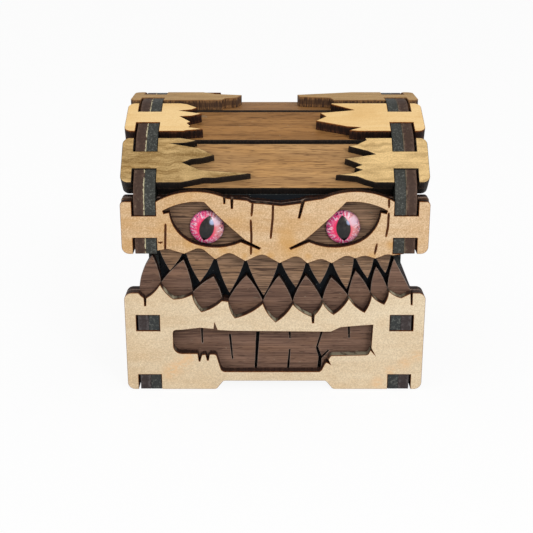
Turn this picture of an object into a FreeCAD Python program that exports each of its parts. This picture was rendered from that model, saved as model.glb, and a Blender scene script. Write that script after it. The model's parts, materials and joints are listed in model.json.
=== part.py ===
"""Small hinged chest of layered plywood with a toothed mouth and two glass eyes.

X runs from the chest's left end to its right end as it faces the viewer, the front
faces -Y and Z is up.  The origin lies under the middle of the whole outline, on the
plane that the chest stands on.  Panels at the front and back are stacks of plies; the
double side walls reach through them with tabs.  The lid is a barrel of five planks.
"""
import FreeCAD, Part
import os
from collections import namedtuple
from math import atan, hypot, sqrt, tan

import Sketcher
from FreeCAD import Placement, Rotation, Vector

# Driving dimensions in millimetres, and angles in degrees.
SIZES = {
    # the box
    "width": 90.0,  # front and back panels, end to end
    "depth": 79.9,  # front face to back face, without the hinges
    "ply": 3.2,  # one ply of every wooden piece
    "base_height": 43.35,  # back wall and inner walls of the base
    "jaw_height": 31.4,  # front corners and outer side walls of the base
    "lid_gap": 0.3,  # parting line between base and lid
    "jaw_level": 38.0,  # level part of the outer side wall's top edge
    "jaw_rise_length": 20.0,  # sloped part of the outer side wall's top edge
    "corner_radius": 2.2,
    # the lid
    "lid_wall": 16.45,  # from the lid's underside to the corner where planks begin
    "face_height": 15.85,  # ends of the front panel's top edge above the underside
    "brow_rise": 3.0,  # how far the brows stand above those ends
    "steep_angle": 45.0,  # slope of the lowest planks
    "shallow_angle": 22.5,  # slope of the planks beside the top one
    "plank_gap": 0.35,
    "strip_length": 20.0,  # the birch strips, whose splinters reach further
    # tabs and slots
    "wall_inset": 3.9,  # outer face of a side wall inside the panel's end
    "slot_play": 0.6,  # slot beyond the wall's outer face
    "fit": 0.1,  # clearance round every tab elsewhere
    "tooth_clearance": 0.3,  # between the upper teeth's backs and the front liner
    "tab_reach": 4.8,  # a tab along a panel, from the corner
    "tab_recess": 0.25,  # tab end below the panel's outer face
    "base_tab_height": 21.8,  # middle of the base's upper tabs
    "base_tab_length": 4.9,
    "floor_height": 3.2,  # underside of the floor
    "floor_tab_length": 12.0,
    "floor_tab_spacing": 36.0,
    # openings in the front
    "foot_length": 27.1,
    "foot_lift": 2.8,
    "foot_slope": 2.2,
    "foot_radius": 1.2,
    "window_width": 60.0,
    "window_low": 5.8,
    "window_height": 14.6,
    "window_radius": 1.25,
    "crack_width": 0.7,
    # glass eyes
    "eye_radius": 5.0,
    "eye_spacing": 40.0,
    "eye_height": 7.55,  # centre above the lid's underside
    "eye_rim": 0.8,
    "eye_dome": 3.0,
    # butt hinges
    "hinge_spacing": 44.0,
    "hinge_width": 14.0,
    "leaf_height": 7.6,
    "leaf_thickness": 0.6,
    "knuckle_radius": 1.2,
    "knuckle_length": 4.6,  # the lid leaf's middle knuckle
    "knuckle_play": 0.15,
    "hinge_stand": 0.3,  # knuckles clear of the wood
    "pin_radius": 0.6,
    "pin_play": 0.04,
    "screw_spacing": 8.0,
    "screw_height": 4.8,  # screw centres from the hinge axis
    "screw_radius": 0.75,
    "screw_length": 5.2,
    "screw_head_radius": 1.4,
    "screw_crown_radius": 0.85,
    "screw_head_height": 0.5,
}

doc = FreeCAD.newDocument("layered_chest")
sheet = doc.addObject("Spreadsheet::Sheet", "Sizes")
for row, (alias, number) in enumerate(SIZES.items(), 1):
    sheet.set(f"A{row}", alias)
    sheet.set(f"B{row}", str(number))
    sheet.setAlias(f"B{row}", alias)
doc.recompute()

# Places that several pieces share, written as expressions on the sheet.
HALF = "(Sizes.width / 2)"
AXIS_OFFSET = "(Sizes.hinge_stand + Sizes.knuckle_radius)"
SHIFT = "((Sizes.hinge_stand + 2 * Sizes.knuckle_radius) / 2)"
FRONT = f"(-Sizes.depth / 2 - {SHIFT})"
BACK = f"(Sizes.depth / 2 - {SHIFT})"
LID = "(Sizes.base_height + Sizes.lid_gap)"
KINK = f"({LID} + Sizes.lid_wall)"
PITCH = (
    "((Sizes.depth / 2 - 2 * Sizes.ply)"
    " / (cos(Sizes.steep_angle) + cos(Sizes.shallow_angle) + 0.5))"
)
WALL_OUT = f"({HALF} - Sizes.wall_inset)"
WALL_IN = f"({WALL_OUT} - 2 * Sizes.ply)"
SLOT_OUT = f"({WALL_OUT} + Sizes.slot_play)"
SLOT_IN = f"({WALL_IN} - Sizes.fit)"
WALL_END = "(Sizes.depth / 2 - 2 * Sizes.ply)"
FLOOR_TOP = "(Sizes.floor_height + Sizes.ply)"
HINGE_Z = "(Sizes.base_height + Sizes.lid_gap / 2)"
HINGE_Y = f"({BACK} + {AXIS_OFFSET})"
LEAF_SIGNS = {"base": "-", "lid": "+"}
SCREW_PLACES = [
    f"({hinge}Sizes.hinge_spacing {screw} Sizes.screw_spacing) / 2"
    for hinge in "-+"
    for screw in "-+"
]

SIDES = {"left": -1, "right": 1}
X_AXIS = Vector(1, 0, 0)
Z_AXIS = Vector(0, 0, 1)
FACING_FRONT = Rotation(X_AXIS, 90)  # sketch up is +Z, pads grow to -Y
FACING_BACK = Rotation(Z_AXIS, 180) * FACING_FRONT  # sketch up is +Z, pads grow to +Y
SIDEWAYS = Rotation(Vector(1, 1, 1), 120)  # sketch right is +Y, up is +Z, pads grow to +X
TOLERANCE = 1e-6
nodes = []

# A corner of an outline.  bow curves the edge that follows it outwards, as a share of
# the edge's length, and radius rounds the corner itself.
Point = namedtuple("Point", "x y bow radius", defaults=(0.0, 0.0))


def value(expression):
    """The number that an expression on the sheet comes to."""
    result = sheet.evalExpression(expression)
    return float(getattr(result, "Value", result))


def find(part, role):
    """One of a body's own origin planes or axes."""
    return next(item for item in part.Origin.OriginFeatures if item.Role == role)


def new_body(label, rotation=Rotation(), **places):
    """A body called label, turned by rotation and moved to the x, y and z expressions."""
    part = doc.addObject("PartDesign::Body", label)
    part.Label = label
    part.Placement = Placement(Vector(), rotation)
    for axis, expression in places.items():
        part.setExpression("Placement.Base." + axis, expression)
    nodes.append(part)
    return part


def new_sketch(part, name, plane="XY_Plane"):
    made = part.newObject("Sketcher::SketchObject", f"{part.Name}_{name}")
    made.AttachmentSupport = [(find(part, plane), "")]
    made.MapMode = "FlatFace"
    return made


def rounded(outline):
    """Replace each corner that has a radius by the two ends of an arc."""
    points = []
    for before, corner, after in zip(outline[-1:] + outline[:-1], outline, outline[1:] + outline[:1]):
        if not corner.radius:
            points.append(corner)
            continue
        here = Vector(corner.x, corner.y)
        back = (Vector(before.x, before.y) - here).normalize()
        ahead = (Vector(after.x, after.y) - here).normalize()
        turn = back.negative().getAngle(ahead)
        reach = corner.radius * tan(turn / 2)
        first = here + back * reach
        last = here + ahead * reach
        bow = tan(turn / 4) / 2 if ahead.cross(back).z > 0 else -tan(turn / 4) / 2
        points.append(Point(first.x, first.y, bow))
        points.append(Point(last.x, last.y))
    return points


def draw(sketch, outline):
    """Draw one closed loop; it runs anticlockwise, so outwards is to the right."""
    points = rounded(outline)
    first = sketch.GeometryCount
    ends = []
    for near, far in zip(points, points[1:] + points[:1]):
        start, end = Vector(near.x, near.y), Vector(far.x, far.y)
        if near.bow:
            middle = (start + end) / 2 + Vector(end.y - start.y, start.x - end.x) * near.bow
            edge = sketch.addGeometry(Part.Arc(start, middle, end))
        else:
            edge = sketch.addGeometry(Part.LineSegment(start, end))
        begins = sketch.getPoint(edge, 1).distanceToPoint(start) < TOLERANCE
        ends.append((1, 2) if begins else (2, 1))
    for index, (_, last) in enumerate(ends):
        follower = (index + 1) % len(ends)
        sketch.addConstraint(
            Sketcher.Constraint("Coincident", first + index, last, first + follower, ends[follower][0])
        )


def rectangle(sketch, left, right, low, high):
    """Draw a rectangle whose four sides follow expressions, measured from the origin."""
    x0, x1, y0, y1 = (value(side) for side in (left, right, low, high))
    corners = [Vector(x0, y0), Vector(x1, y0), Vector(x1, y1), Vector(x0, y1)]
    first = sketch.GeometryCount
    for start, end in zip(corners, corners[1:] + corners[:1]):
        sketch.addGeometry(Part.LineSegment(start, end))
    for side in range(4):
        sketch.addConstraint(
            Sketcher.Constraint("Coincident", first + side, 2, first + (side + 1) % 4, 1)
        )
        direction = ("Horizontal", "Vertical")[side % 2]
        sketch.addConstraint(Sketcher.Constraint(direction, first + side))
    distances = (
        ("left", "DistanceX", 0, x0, left),
        ("right", "DistanceX", 1, x1, right),
        ("low", "DistanceY", 0, y0, low),
        ("high", "DistanceY", 2, y1, high),
    )
    for name, kind, side, number, expression in distances:
        datum = Sketcher.Constraint(kind, -1, 1, first + side, 1, number)
        index = sketch.addConstraint(datum)
        sketch.renameConstraint(index, f"{name}_{first}")
        sketch.setExpression(f"Constraints.{name}_{first}", expression)


def circle(sketch, name, x, y, radius):
    """Draw a circle whose centre and radius follow expressions."""
    centre = Vector(value(x), value(y))
    index = sketch.addGeometry(Part.Circle(centre, Z_AXIS, value(radius)))
    datums = [("radius", Sketcher.Constraint("Radius", index, value(radius)), radius)]
    for kind, number, expression in (("DistanceX", centre.x, x), ("DistanceY", centre.y, y)):
        if expression == "0":
            axis = -2 if kind == "DistanceX" else -1
            sketch.addConstraint(Sketcher.Constraint("PointOnObject", index, 3, axis))
        else:
            datum = Sketcher.Constraint(kind, -1, 1, index, 3, number)
            datums.append((kind, datum, expression))
    for kind, datum, expression in datums:
        added = sketch.addConstraint(datum)
        sketch.renameConstraint(added, f"{name}_{kind}")
        sketch.setExpression(f"Constraints.{name}_{kind}", expression)


def pad(part, sketch, length="Sizes.ply"):
    made = part.newObject("PartDesign::Pad", f"{sketch.Name}_pad")
    made.Profile = sketch
    made.setExpression("Length", length)
    doc.recompute()
    return made


def cut(part, sketch, ahead=True):
    """Cut a sketch through the whole body, ahead along its normal or back against it."""
    before = part.Shape.Volume
    made = part.newObject("PartDesign::Pocket", f"{sketch.Name}_cut")
    made.Profile = sketch
    made.Type = "ThroughAll"
    made.Reversed = ahead
    doc.recompute()
    if part.Shape.Volume >= before:
        raise RuntimeError(f"{made.Name} cuts nothing")
    return made


def repeat_in_mirror(part, feature, plane="YZ_Plane"):
    made = part.newObject("PartDesign::Mirrored", f"{feature.Name}_mirrored")
    made.Originals = [feature]
    made.MirrorPlane = (find(part, plane), [""])
    part.Tip = made
    doc.recompute()


def flipped(outline):
    """The mirror image of an outline, left for right, still anticlockwise."""
    images = []
    for here, before in zip(outline, outline[-1:] + outline[:-1]):
        images.append(Point(-here.x, here.y, before.bow, here.radius))
    return images[::-1]


# The mouth.  Its places are shares: u of the half width between the slots, from the
# middle, and w down from the lid's underside at 0 by the jaw's corners at 1 to the
# window's top at 2.  Cusps are the points where two teeth meet, in the birch.  One of the
# lower cusps is flat, so it counts as two with a level place between.
UPPER_CUSPS = [
    (-1, -0.08), (-0.773, 0), (-0.508, 0.14), (-0.252, 0.185), (0.04, 0.235),
    (0.274, 0.24), (0.483, 0.24), (0.681, 0.115), (0.855, 0.12), (1, 0.04),
]
UPPER_CROWNS = [
    (-0.91, -0.125), (-0.636, -0.175), (-0.39, -0.05), (-0.11, -0.005), (0.191, 0.025),
    (0.395, 0.115), (0.609, 0.025), (0.765, 0.04), (0.96, 0),
]
UPPER_TIPS = [
    (-0.906, 0.51), (-0.65, 0.81), (-0.395, 1.10), (-0.097, 1.18), (0.183, 0.95),
    (0.39, 0.855), (0.624, 0.99), (0.803, 0.715), (0.956, 0.575),
]
LOWER_TIPS = [
    (-1.055, 0.12), (-0.788, 0.235), (-0.532, 0.665), (-0.43, 1.25), (-0.246, 0.635), (0.035, 0.65),
    (0.267, 0.64), (0.488, 0.695), (0.697, 0.52), (0.873, 0.41), (1.025, 0.21),
]
LOWER_CUSPS = [
    (-0.987, 0.78), (-0.714, 1.04), (-0.457, 1.22), (-0.402, 1.24), (-0.104, 1.30), (0.155, 1.32),
    (0.414, 1.28), (0.638, 1.15), (0.833, 1.07), (0.98, 0.95),
]
SOCKETS = [
    (-1.118, 1.16), (-0.875, 1.175), (-0.636, 1.545), (-0.43, 1.23), (-0.346, 1.725), (0.007, 1.84),
    (0.327, 1.69), (0.509, 1.62), (0.776, 1.56), (0.944, 1.325), (1.09, 1.14),
]
MOUTH_CORNER_SHARE = 1.175  # of the half width between the slots
LID_CORNER_SHARE = 1.1  # where the lid's edges change height, inside the slots' width
VALLEY_SHARE = 0.04  # how much deeper than the cusps the dark teeth part, in the same w
CROWN_SHARE = 0.08  # radius of the crowns over the upper teeth, as a share of that half width
SOCKET_SHARE = 0.07  # bow of the lower sockets' sides
TOOTH_SHARE = 0.04  # bow of the teeth's sides
FANG_SHARE = 0.09  # bow of the leftmost tooth's outer side

# The left eye's opening, as places across, heights and how far the edge that follows bows
# out.  Heights and bows are in eye radii.  Across, 1 is the glass's edge, and 2 the slot on
# the outer side and the chest's middle on the inner one.
EYE_OPENING = [
    (-1.6, 1.01, 0.4), (-0.51, -0.95, 0.23), (1.33, -0.78, 0), (1.69, -1.24, 0),
    (1.72, -1.14, 0), (1.42, -0.67, -0.05), (-0.12, 1.63, 0.19), (-1.8, 1.11, 0), (-1.77, 0.93, 0),
]
# The face's brows from right to left: shares of the half width between the slots, and of
# the brows' rise above the ends of the edge.
BROW_SHARE = 0.3  # height of each brow's inner end
BROWS = [
    (1, 0), (0.4, BROW_SHARE), (0.25, 0.03), (0.21, -0.17), (0.05, -0.42), (-0.08, -0.24),
    (-0.2, -0.13), (-0.235, 0.12), (-0.4, BROW_SHARE), (-1, 0),
]
# The window, in shares of its width from the middle and of its height from the low edge,
# with the rounding of a corner in window radii.
WINDOW = [
    (-0.27, 0, 1.2), (0.235, 0, 1), (0.255, 0.18), (0.262, 0.215), (0.284, 0.167), (0.272, 0.277),
    (0.285, 0.365, 0.6), (0.472, 0.38, 0.7), (0.485, 0.49), (0.506, 0.39), (0.488, 0.533),
    (0.493, 1.055), (0.43, 1.037), (0.33, 1.0, 0.5), (0.282, 0.9, 0.6), (-0.208, 0.918),
    (-0.288, 0.937), (-0.302, 1.092), (-0.307, 0.963), (-0.376, 0.988), (-0.46, 0.945),
    (-0.512, 0.935, 0.8), (-0.512, 0.413, 2), (-0.39, 0.413), (-0.385, 0.24), (-0.379, 0.24),
    (-0.369, 0.385), (-0.35, 0.39), (-0.343, 0.262), (-0.336, 0.262), (-0.33, 0.395),
    (-0.297, 0.4, 0.8),
]
# Cracks as a width in crack widths and places from the mouth to the blunt end, which are
# shares as in the outline that the crack runs from.
CRACK_END_SHARE = 0.6  # the blunt end's width, of the mouth's
WINDOW_CRACKS = [
    (0.9, (-0.371, 1.0), (-0.368, 0.56)), (0.9, (-0.228, 0.76), (-0.216, 0.2)),
    (1.7, (-0.083, 1.0), (-0.088, 0.6), (-0.097, -0.03)), (1, (0.075, 1.0), (0.078, 0.66)),
    (1, (0.069, -0.05), (0.077, 0.42)), (1, (0.24, 1.0), (0.237, 0.78), (0.214, 0.44)),
    (1.7, (0.229, -0.05), (0.233, 0.25), (0.216, 0.47)), (1, (0.229, 0.18), (0.276, 0.4)),
    (1, (0.374, 1.15), (0.379, 0.68)),
]
JAW_CRACKS = [
    (1, (-1.12, 1.1), (-1.121, 1.37)), (1.15, (0.331, 1.66), (0.332, 1.87)),
    (1, (1.175, 0.8), (1.182, 1.34)),
]
BROW_CRACKS = [
    (1, (-0.425, 0.8), (-0.425, -0.2)), (1.2, (-0.362, 0.6), (-0.362, -0.68)),
    (1.35, (0.24, 0.35), (0.201, -1.65)),
]

# Broken inner ends of the birch strips, from each plank's low edge up, in shares of the
# strips' length and of the plank's width.
BREAKS = {
    ("lower", "left"): [
        (0.88, 0), (1.02, 0.04), (1.21, 0.1), (1.38, 0.1), (1.9, 0.2), (1.16, 0.28), (0.9, 0.44),
        (1.03, 0.52), (1.18, 0.54), (1.36, 0.61), (1.13, 0.77), (0.73, 0.87), (0.95, 0.89),
        (1.1, 0.94), (0.85, 1),
    ],
    ("lower", "right"): [
        (0.8, 0), (0.94, 0.06), (1.06, 0.13), (1.18, 0.15), (1.37, 0.17), (1.11, 0.215),
        (0.985, 0.28), (1.09, 0.33), (0.985, 0.39), (1.16, 0.49), (1.23, 0.53), (0.78, 0.63),
        (0.89, 0.7), (1.17, 0.81), (1.04, 0.85), (0.9, 0.95), (0.92, 1),
    ],
    ("upper", "left"): [
        (0.88, 0), (0.94, 0.03), (1.18, 0.07), (0.96, 0.14), (0.985, 0.18), (0.93, 0.28),
        (0.98, 0.33), (0.815, 0.52), (0.99, 0.54), (1.14, 0.62), (0.8, 0.73), (0.98, 0.77),
        (1.06, 0.84), (0.9, 0.97), (0.8, 1),
    ],
    ("upper", "right"): [
        (1, 0), (1.14, 0.03), (0.97, 0.13), (1.17, 0.16), (1.63, 0.36), (1.47, 0.52),
        (1.56, 0.64), (1.04, 0.75), (1.38, 0.97), (1.37, 1),
    ],
    ("top", "left"): [
        (1.43, 0), (1.47, 0.22), (1.65, 0.30), (1.73, 0.62), (1.3, 0.76), (1.1, 1),
    ],
    ("top", "right"): [
        (1.33, 0), (1.37, 0.28), (1.85, 0.42), (1.88, 0.66), (1.4, 0.84), (1.0, 1),
    ],
}


def mouth(u, w, bow=0.0):
    high, jaw = value(LID), value("Sizes.jaw_height")
    low = value("Sizes.window_low + Sizes.window_height")
    level = high - w * (high - jaw) if w < 1 else jaw - (w - 1) * (jaw - low)
    return Point(u * value(SLOT_IN), level, bow)


def window(u, w, roundness=0):
    low, high = value("Sizes.window_low"), value("Sizes.window_height")
    radius = roundness * value("Sizes.window_radius")
    return Point(u * value("Sizes.window_width"), low + w * high, radius=radius)


def brow(u, rise):
    ends = value(f"{LID} + Sizes.face_height")
    return Point(u * value(SLOT_IN), ends + rise * value("Sizes.brow_rise"))


def eye_opening():
    """Outline of the left eye's opening."""
    radius, centre = value("Sizes.eye_radius"), value("-Sizes.eye_spacing / 2")
    height = value(f"{LID} + Sizes.eye_height")
    room = {-1: centre + value(SLOT_IN) - radius, 1: -centre - radius}
    outline = []
    for u, rise, bow in EYE_OPENING:
        side = -1 if u < 0 else 1
        across = side * (min(abs(u), 1) * radius + max(abs(u) - 1, 0) * room[side])
        outline.append(Point(centre + across, height + rise * radius, bow * radius))
    follow = outline[1:] + outline[:1]
    return [
        here._replace(bow=here.bow / hypot(after.x - here.x, after.y - here.y))
        for here, after in zip(outline, follow)
    ]


def cracks(part, lines, place):
    """Cut cracks that narrow from their mouths to blunt ends; place turns shares to a point."""
    for number, (share, *line) in enumerate(lines):
        points = [Vector(point.x, point.y) for point in (place(*shares) for shares in line)]
        last = len(points) - 1
        near, far = [], []
        for index, here in enumerate(points):
            way = points[min(index + 1, last)] - points[max(index - 1, 0)]
            width = share * value("Sizes.crack_width") * (1 - (1 - CRACK_END_SHARE) * index / last)
            across = Vector(way.y, -way.x).normalize() * width / 2
            near.append(here + across)
            far.append(here - across)
        sketch = new_sketch(part, f"crack_{number}")
        draw(sketch, [Point(corner.x, corner.y) for corner in near + far[::-1]])
        cut(part, sketch)


def slots(part, *heights):
    """Cut the slots for the side walls' tabs, as pairs of low and high expressions."""
    sketch = new_sketch(part, "slots")
    for low, high in heights:
        rectangle(sketch, SLOT_IN, SLOT_OUT, low, high)
    repeat_in_mirror(part, cut(part, sketch))


def upright_ply(label, layer, outline, facing_back=False):
    """An upright ply across the chest; layer 0 is the outermost."""
    steps = f"{layer + 1} * Sizes.ply"
    place = f"{BACK} - {steps}" if facing_back else f"{FRONT} + {steps}"
    part = new_body(label, FACING_BACK if facing_back else FACING_FRONT, y=place)
    sketch = new_sketch(part, "outline")
    draw(sketch, outline)
    pad(part, sketch)
    return part


def base_outline(top_edge, height="Sizes.base_height"):
    """Feet below and a given edge on top, listed from right to left."""
    half, radius = value(HALF), value("Sizes.corner_radius")
    foot, lift = half - value("Sizes.foot_length"), value("Sizes.foot_lift")
    arch = foot - value("Sizes.foot_slope")
    corners = [(-foot, 0), (-arch, lift), (arch, lift), (foot, 0)]
    feet = [Point(x, z, radius=value("Sizes.foot_radius")) for x, z in corners]
    top = value(height)
    return [
        Point(-half, 0, radius=radius), *feet, Point(half, 0, radius=radius),
        Point(half, top, radius=radius), *top_edge, Point(-half, top, radius=radius),
    ]


def lid_outline(bottom_edge, top_edge, ends):
    """An edge below, from left to right, and one on top, from right to left."""
    half, radius, low = value(HALF), value("Sizes.corner_radius"), value(LID)
    return [
        Point(-half, low, radius=radius), *bottom_edge, Point(half, low, radius=radius),
        Point(half, ends, radius=radius / 2), *top_edge, Point(-half, ends, radius=radius / 2),
    ]


def woven(peaks, valleys):
    """Alternate the points of two lists, starting and ending with a peak."""
    edge = [peaks[0]]
    for valley, peak in zip(valleys, peaks[1:]):
        edge += [valley, peak]
    return edge


TAB_LOW = "(Sizes.base_tab_height - Sizes.base_tab_length / 2)"
TAB_HIGH = "(Sizes.base_tab_height + Sizes.base_tab_length / 2)"
BASE_SLOTS = (
    ("-Sizes.ply", "Sizes.tab_reach + Sizes.fit"),
    (f"{TAB_LOW} - Sizes.fit", f"{TAB_HIGH} + Sizes.fit"),
)
LID_SLOTS = (
    (LID, f"{LID} + Sizes.tab_reach + Sizes.fit"),
    (f"{KINK} - Sizes.tab_reach - Sizes.fit", f"{KINK} + Sizes.brow_rise"),
)


def base_front():
    """Birch face, dark backing with the lower teeth, and the black liner behind both."""
    right, left = mouth(MOUTH_CORNER_SHARE, 1), mouth(-MOUTH_CORNER_SHARE, 1)
    cusps = [mouth(u, w, -SOCKET_SHARE) for u, w in LOWER_CUSPS[::-1]]
    sockets = [mouth(u, w, -SOCKET_SHARE) for u, w in SOCKETS[::-1]]
    jaw = [right, *woven(sockets, cusps), left]
    face = upright_ply("base_front_face", 0, base_outline(jaw, "Sizes.jaw_height"))
    slots(face, *BASE_SLOTS)
    opening = new_sketch(face, "window")
    draw(opening, [window(*corner) for corner in WINDOW])
    cut(face, opening)
    cracks(face, JAW_CRACKS, mouth)

    tips = [mouth(u, w, TOOTH_SHARE) for u, w in LOWER_TIPS[::-1]]
    tips[-1] = tips[-1]._replace(bow=FANG_SHARE)
    valleys = [mouth(u, w + VALLEY_SHARE, TOOTH_SHARE) for u, w in LOWER_CUSPS[::-1]]
    teeth = [right, *woven(tips, valleys), left]
    backing = upright_ply("base_front_backing", 1, base_outline(teeth, "Sizes.jaw_height"))
    slots(backing, *BASE_SLOTS)
    cracks(backing, WINDOW_CRACKS, window)
    place = f"{FRONT} + 3 * Sizes.ply + Sizes.tooth_clearance"
    liner("base_front_liner", place, FACING_FRONT, FLOOR_TOP, "Sizes.base_height")


def liner(label, place, rotation, low, high):
    """An upright ply between the inner side walls, with its low and high edges given."""
    part = new_body(label, rotation, y=place)
    sketch = new_sketch(part, "outline")
    rectangle(sketch, f"-{SLOT_IN}", SLOT_IN, low, high)
    pad(part, sketch)


def base_back():
    for layer, label in enumerate(("base_back_face", "base_back_backing")):
        part = upright_ply(label, layer, base_outline([]), facing_back=True)
        slots(part, *BASE_SLOTS)
        screw_holes(part, "base")
    liner("base_back_liner", f"{BACK} - 3 * Sizes.ply", FACING_BACK, FLOOR_TOP, "Sizes.base_height")


def screw_holes(part, leaf):
    """Pilot holes through a back panel for one row of hinge screws."""
    sketch = new_sketch(part, "pilots")
    height = f"{HINGE_Z} {LEAF_SIGNS[leaf]} Sizes.screw_height"
    for number, x in enumerate(SCREW_PLACES):
        circle(sketch, f"pilot_{number}", x, height, "Sizes.screw_radius")
    cut(part, sketch)


def base_wall_outline(outer):
    """Side wall with tabs at both ends; its inner ply is full height all along."""
    end = value(WALL_END)
    tip = value("Sizes.depth / 2 - Sizes.tab_recess")
    reach, low, high = value("Sizes.tab_reach"), value(TAB_LOW), value(TAB_HIGH)
    top = value("Sizes.base_height")
    back = [(tip, 0), (tip, reach), (end, reach), (end, low), (tip, low), (tip, high), (end, high)]
    front = [(-y, z) for y, z in back[::-1]]
    if outer:
        level = value("Sizes.jaw_level") - end
        jaw = value("Sizes.jaw_height")
        crest = [(end, top), (level + value("Sizes.jaw_rise_length"), top), (level, jaw), (-end, jaw)]
    else:
        crest = [(end, top), (-end, top)]
    return [Point(y, z) for y, z in back + crest + front]


def side_plates(group, layer, outline):
    """The same ply on both sides; layer 0 is the outermost."""
    plates = []
    for side, sign in SIDES.items():
        near = f"{WALL_OUT} - {layer} * Sizes.ply"
        place = f"{near} - Sizes.ply" if sign > 0 else f"-({near})"
        part = new_body(f"{group}_{side}", SIDEWAYS, x=place, y=f"-{SHIFT}")
        sketch = new_sketch(part, "outline")
        draw(sketch, outline)
        pad(part, sketch)
        plates.append(part)
    return plates


def base_sides():
    for layer, group in enumerate(("base_outer_wall", "base_inner_wall")):
        for part in side_plates(group, layer, base_wall_outline(layer == 0)):
            sketch = new_sketch(part, "floor_slots")
            near = "(Sizes.floor_tab_spacing - Sizes.floor_tab_length) / 2 - Sizes.fit"
            far = "(Sizes.floor_tab_spacing + Sizes.floor_tab_length) / 2 + Sizes.fit"
            rectangle(sketch, near, far, "Sizes.floor_height", FLOOR_TOP)
            repeat_in_mirror(part, cut(part, sketch), "YZ_Plane")


def base_floor():
    """Floor ply between the walls, with tabs out through both side walls."""
    part = new_body("base_floor", y=f"-{SHIFT}", z="Sizes.floor_height")
    sketch = new_sketch(part, "outline")
    rectangle(sketch, f"-{WALL_IN}", WALL_IN, f"-{WALL_END}", WALL_END)
    pad(part, sketch)
    tabs = new_sketch(part, "tabs")
    tip = f"({WALL_OUT} - Sizes.tab_recess)"
    for sign in ("-", ""):
        middle = f"{sign}Sizes.floor_tab_spacing / 2"
        rectangle(tabs, f"-{tip}", tip, f"{middle} - Sizes.floor_tab_length / 2",
                  f"{middle} + Sizes.floor_tab_length / 2")
    pad(part, tabs)


STEEP = "Sizes.steep_angle"
SHALLOW = "Sizes.shallow_angle"
# Each row of planks: its slope, and the y and z of the corner at its low edge.
ROWS = {
    "lower": (STEEP, f"-{WALL_END}", KINK),
    "upper": (
        SHALLOW, f"(-{WALL_END} + {PITCH} * cos({STEEP}))", f"({KINK} + {PITCH} * sin({STEEP}))",
    ),
    "top": ("0", f"-{PITCH} / 2", f"({KINK} + {PITCH} * (sin({STEEP}) + sin({SHALLOW})))"),
}


def lid_wall_outline():
    """Lid end wall: a tab at each end of its level edge and one on every plank corner."""
    end, low, kink = value(WALL_END), value(LID), value(KINK)
    pitch, reach = value(PITCH), value("Sizes.tab_reach")
    tall = value("2 * Sizes.ply - Sizes.tab_recess")
    steep, shallow = value("Sizes.steep_angle"), value("Sizes.shallow_angle")
    tab = [Vector(-end - tall, low), Vector(-end - tall, low + reach), Vector(-end, low + reach)]
    edge = list(tab)
    corner = Vector(-end, kink)
    headings = [90, steep, shallow, 0, -shallow, -steep, -90]
    for before, after in zip(headings, headings[1:]):
        along = [Rotation(Z_AXIS, heading).multVec(X_AXIS) for heading in (before, after)]
        out = [Rotation(Z_AXIS, 90).multVec(way) * tall for way in along]
        start, finish = corner - along[0] * reach, corner + along[1] * reach
        edge += [start, start + out[0], corner + out[0], corner + out[1], finish + out[1], finish]
        corner = corner + along[1] * pitch
    edge += [Vector(-point.x, point.y) for point in reversed(tab)]
    return [Point(point.x, point.y) for point in reversed(edge)]


def lid_front():
    """Birch face with the eye openings, dark backing with the upper teeth, and a black liner."""
    ends = [mouth(side * LID_CORNER_SHARE, 0) for side in SIDES.values()]
    cusps = [mouth(u, w) for u, w in UPPER_CUSPS]
    radius = CROWN_SHARE * value(SLOT_IN)
    crowns = [mouth(u, w)._replace(radius=radius) for u, w in UPPER_CROWNS]
    brows = [brow(u, rise) for u, rise in BROWS]
    bow = value("Sizes.brow_rise") * (1 - BROW_SHARE / 2) / (brows[0].x - brows[1].x)
    for arched in (0, -2):
        brows[arched] = brows[arched]._replace(bow=bow)
    scallops = [ends[0], *woven(cusps, crowns), ends[1]]
    face = upright_ply("lid_face", 0, lid_outline(scallops, brows, brows[0].y))
    slots(face, *LID_SLOTS)
    openings = new_sketch(face, "eye_openings")
    draw(openings, eye_opening())
    draw(openings, flipped(eye_opening()))
    cut(face, openings)
    cracks(face, BROW_CRACKS, brow)

    tips = [mouth(u, w, TOOTH_SHARE) for u, w in UPPER_TIPS]
    valleys = [mouth(u, w - VALLEY_SHARE, TOOTH_SHARE) for u, w in UPPER_CUSPS]
    teeth = [ends[0], *woven(valleys, tips), ends[1]]
    top = value(KINK)
    dip = [point._replace(y=min(point.y, top), bow=0.0) for point in brows[1:-1]]
    backing = upright_ply("lid_face_backing", 1, lid_outline(teeth, dip, top))
    slots(backing, *LID_SLOTS)
    liner("lid_front_liner", f"{FRONT} + 3 * Sizes.ply", FACING_FRONT, LID, KINK)


def lid_back():
    heights = {"lid_back_face": f"{LID} + Sizes.face_height", "lid_back_backing": KINK}
    for layer, (label, height) in enumerate(heights.items()):
        part = upright_ply(label, layer, lid_outline([], [], value(height)), facing_back=True)
        slots(part, *LID_SLOTS)
        screw_holes(part, "lid")
    liner("lid_back_liner", f"{BACK} - 3 * Sizes.ply", FACING_BACK, LID, KINK)


def lid_sides():
    for layer, group in enumerate(("lid_outer_wall", "lid_inner_wall")):
        side_plates(group, layer, lid_wall_outline())


def plank_body(label, row, facing, layer):
    """A ply on the lid's barrel, its sketch origin on the corner at the plank's low edge."""
    slope, y, z = ROWS[row]
    lift = f"{layer} * Sizes.ply"
    y = f"({y} - {lift} * sin({slope}))"
    z = f"{z} + {lift} * cos({slope})"
    turn = Rotation(X_AXIS, value(slope))
    if facing == "back":
        return new_body(label, Rotation(Z_AXIS, 180) * turn, y=f"-{y} - {SHIFT}", z=z)
    return new_body(label, turn, y=f"{y} - {SHIFT}", z=z)


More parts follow.
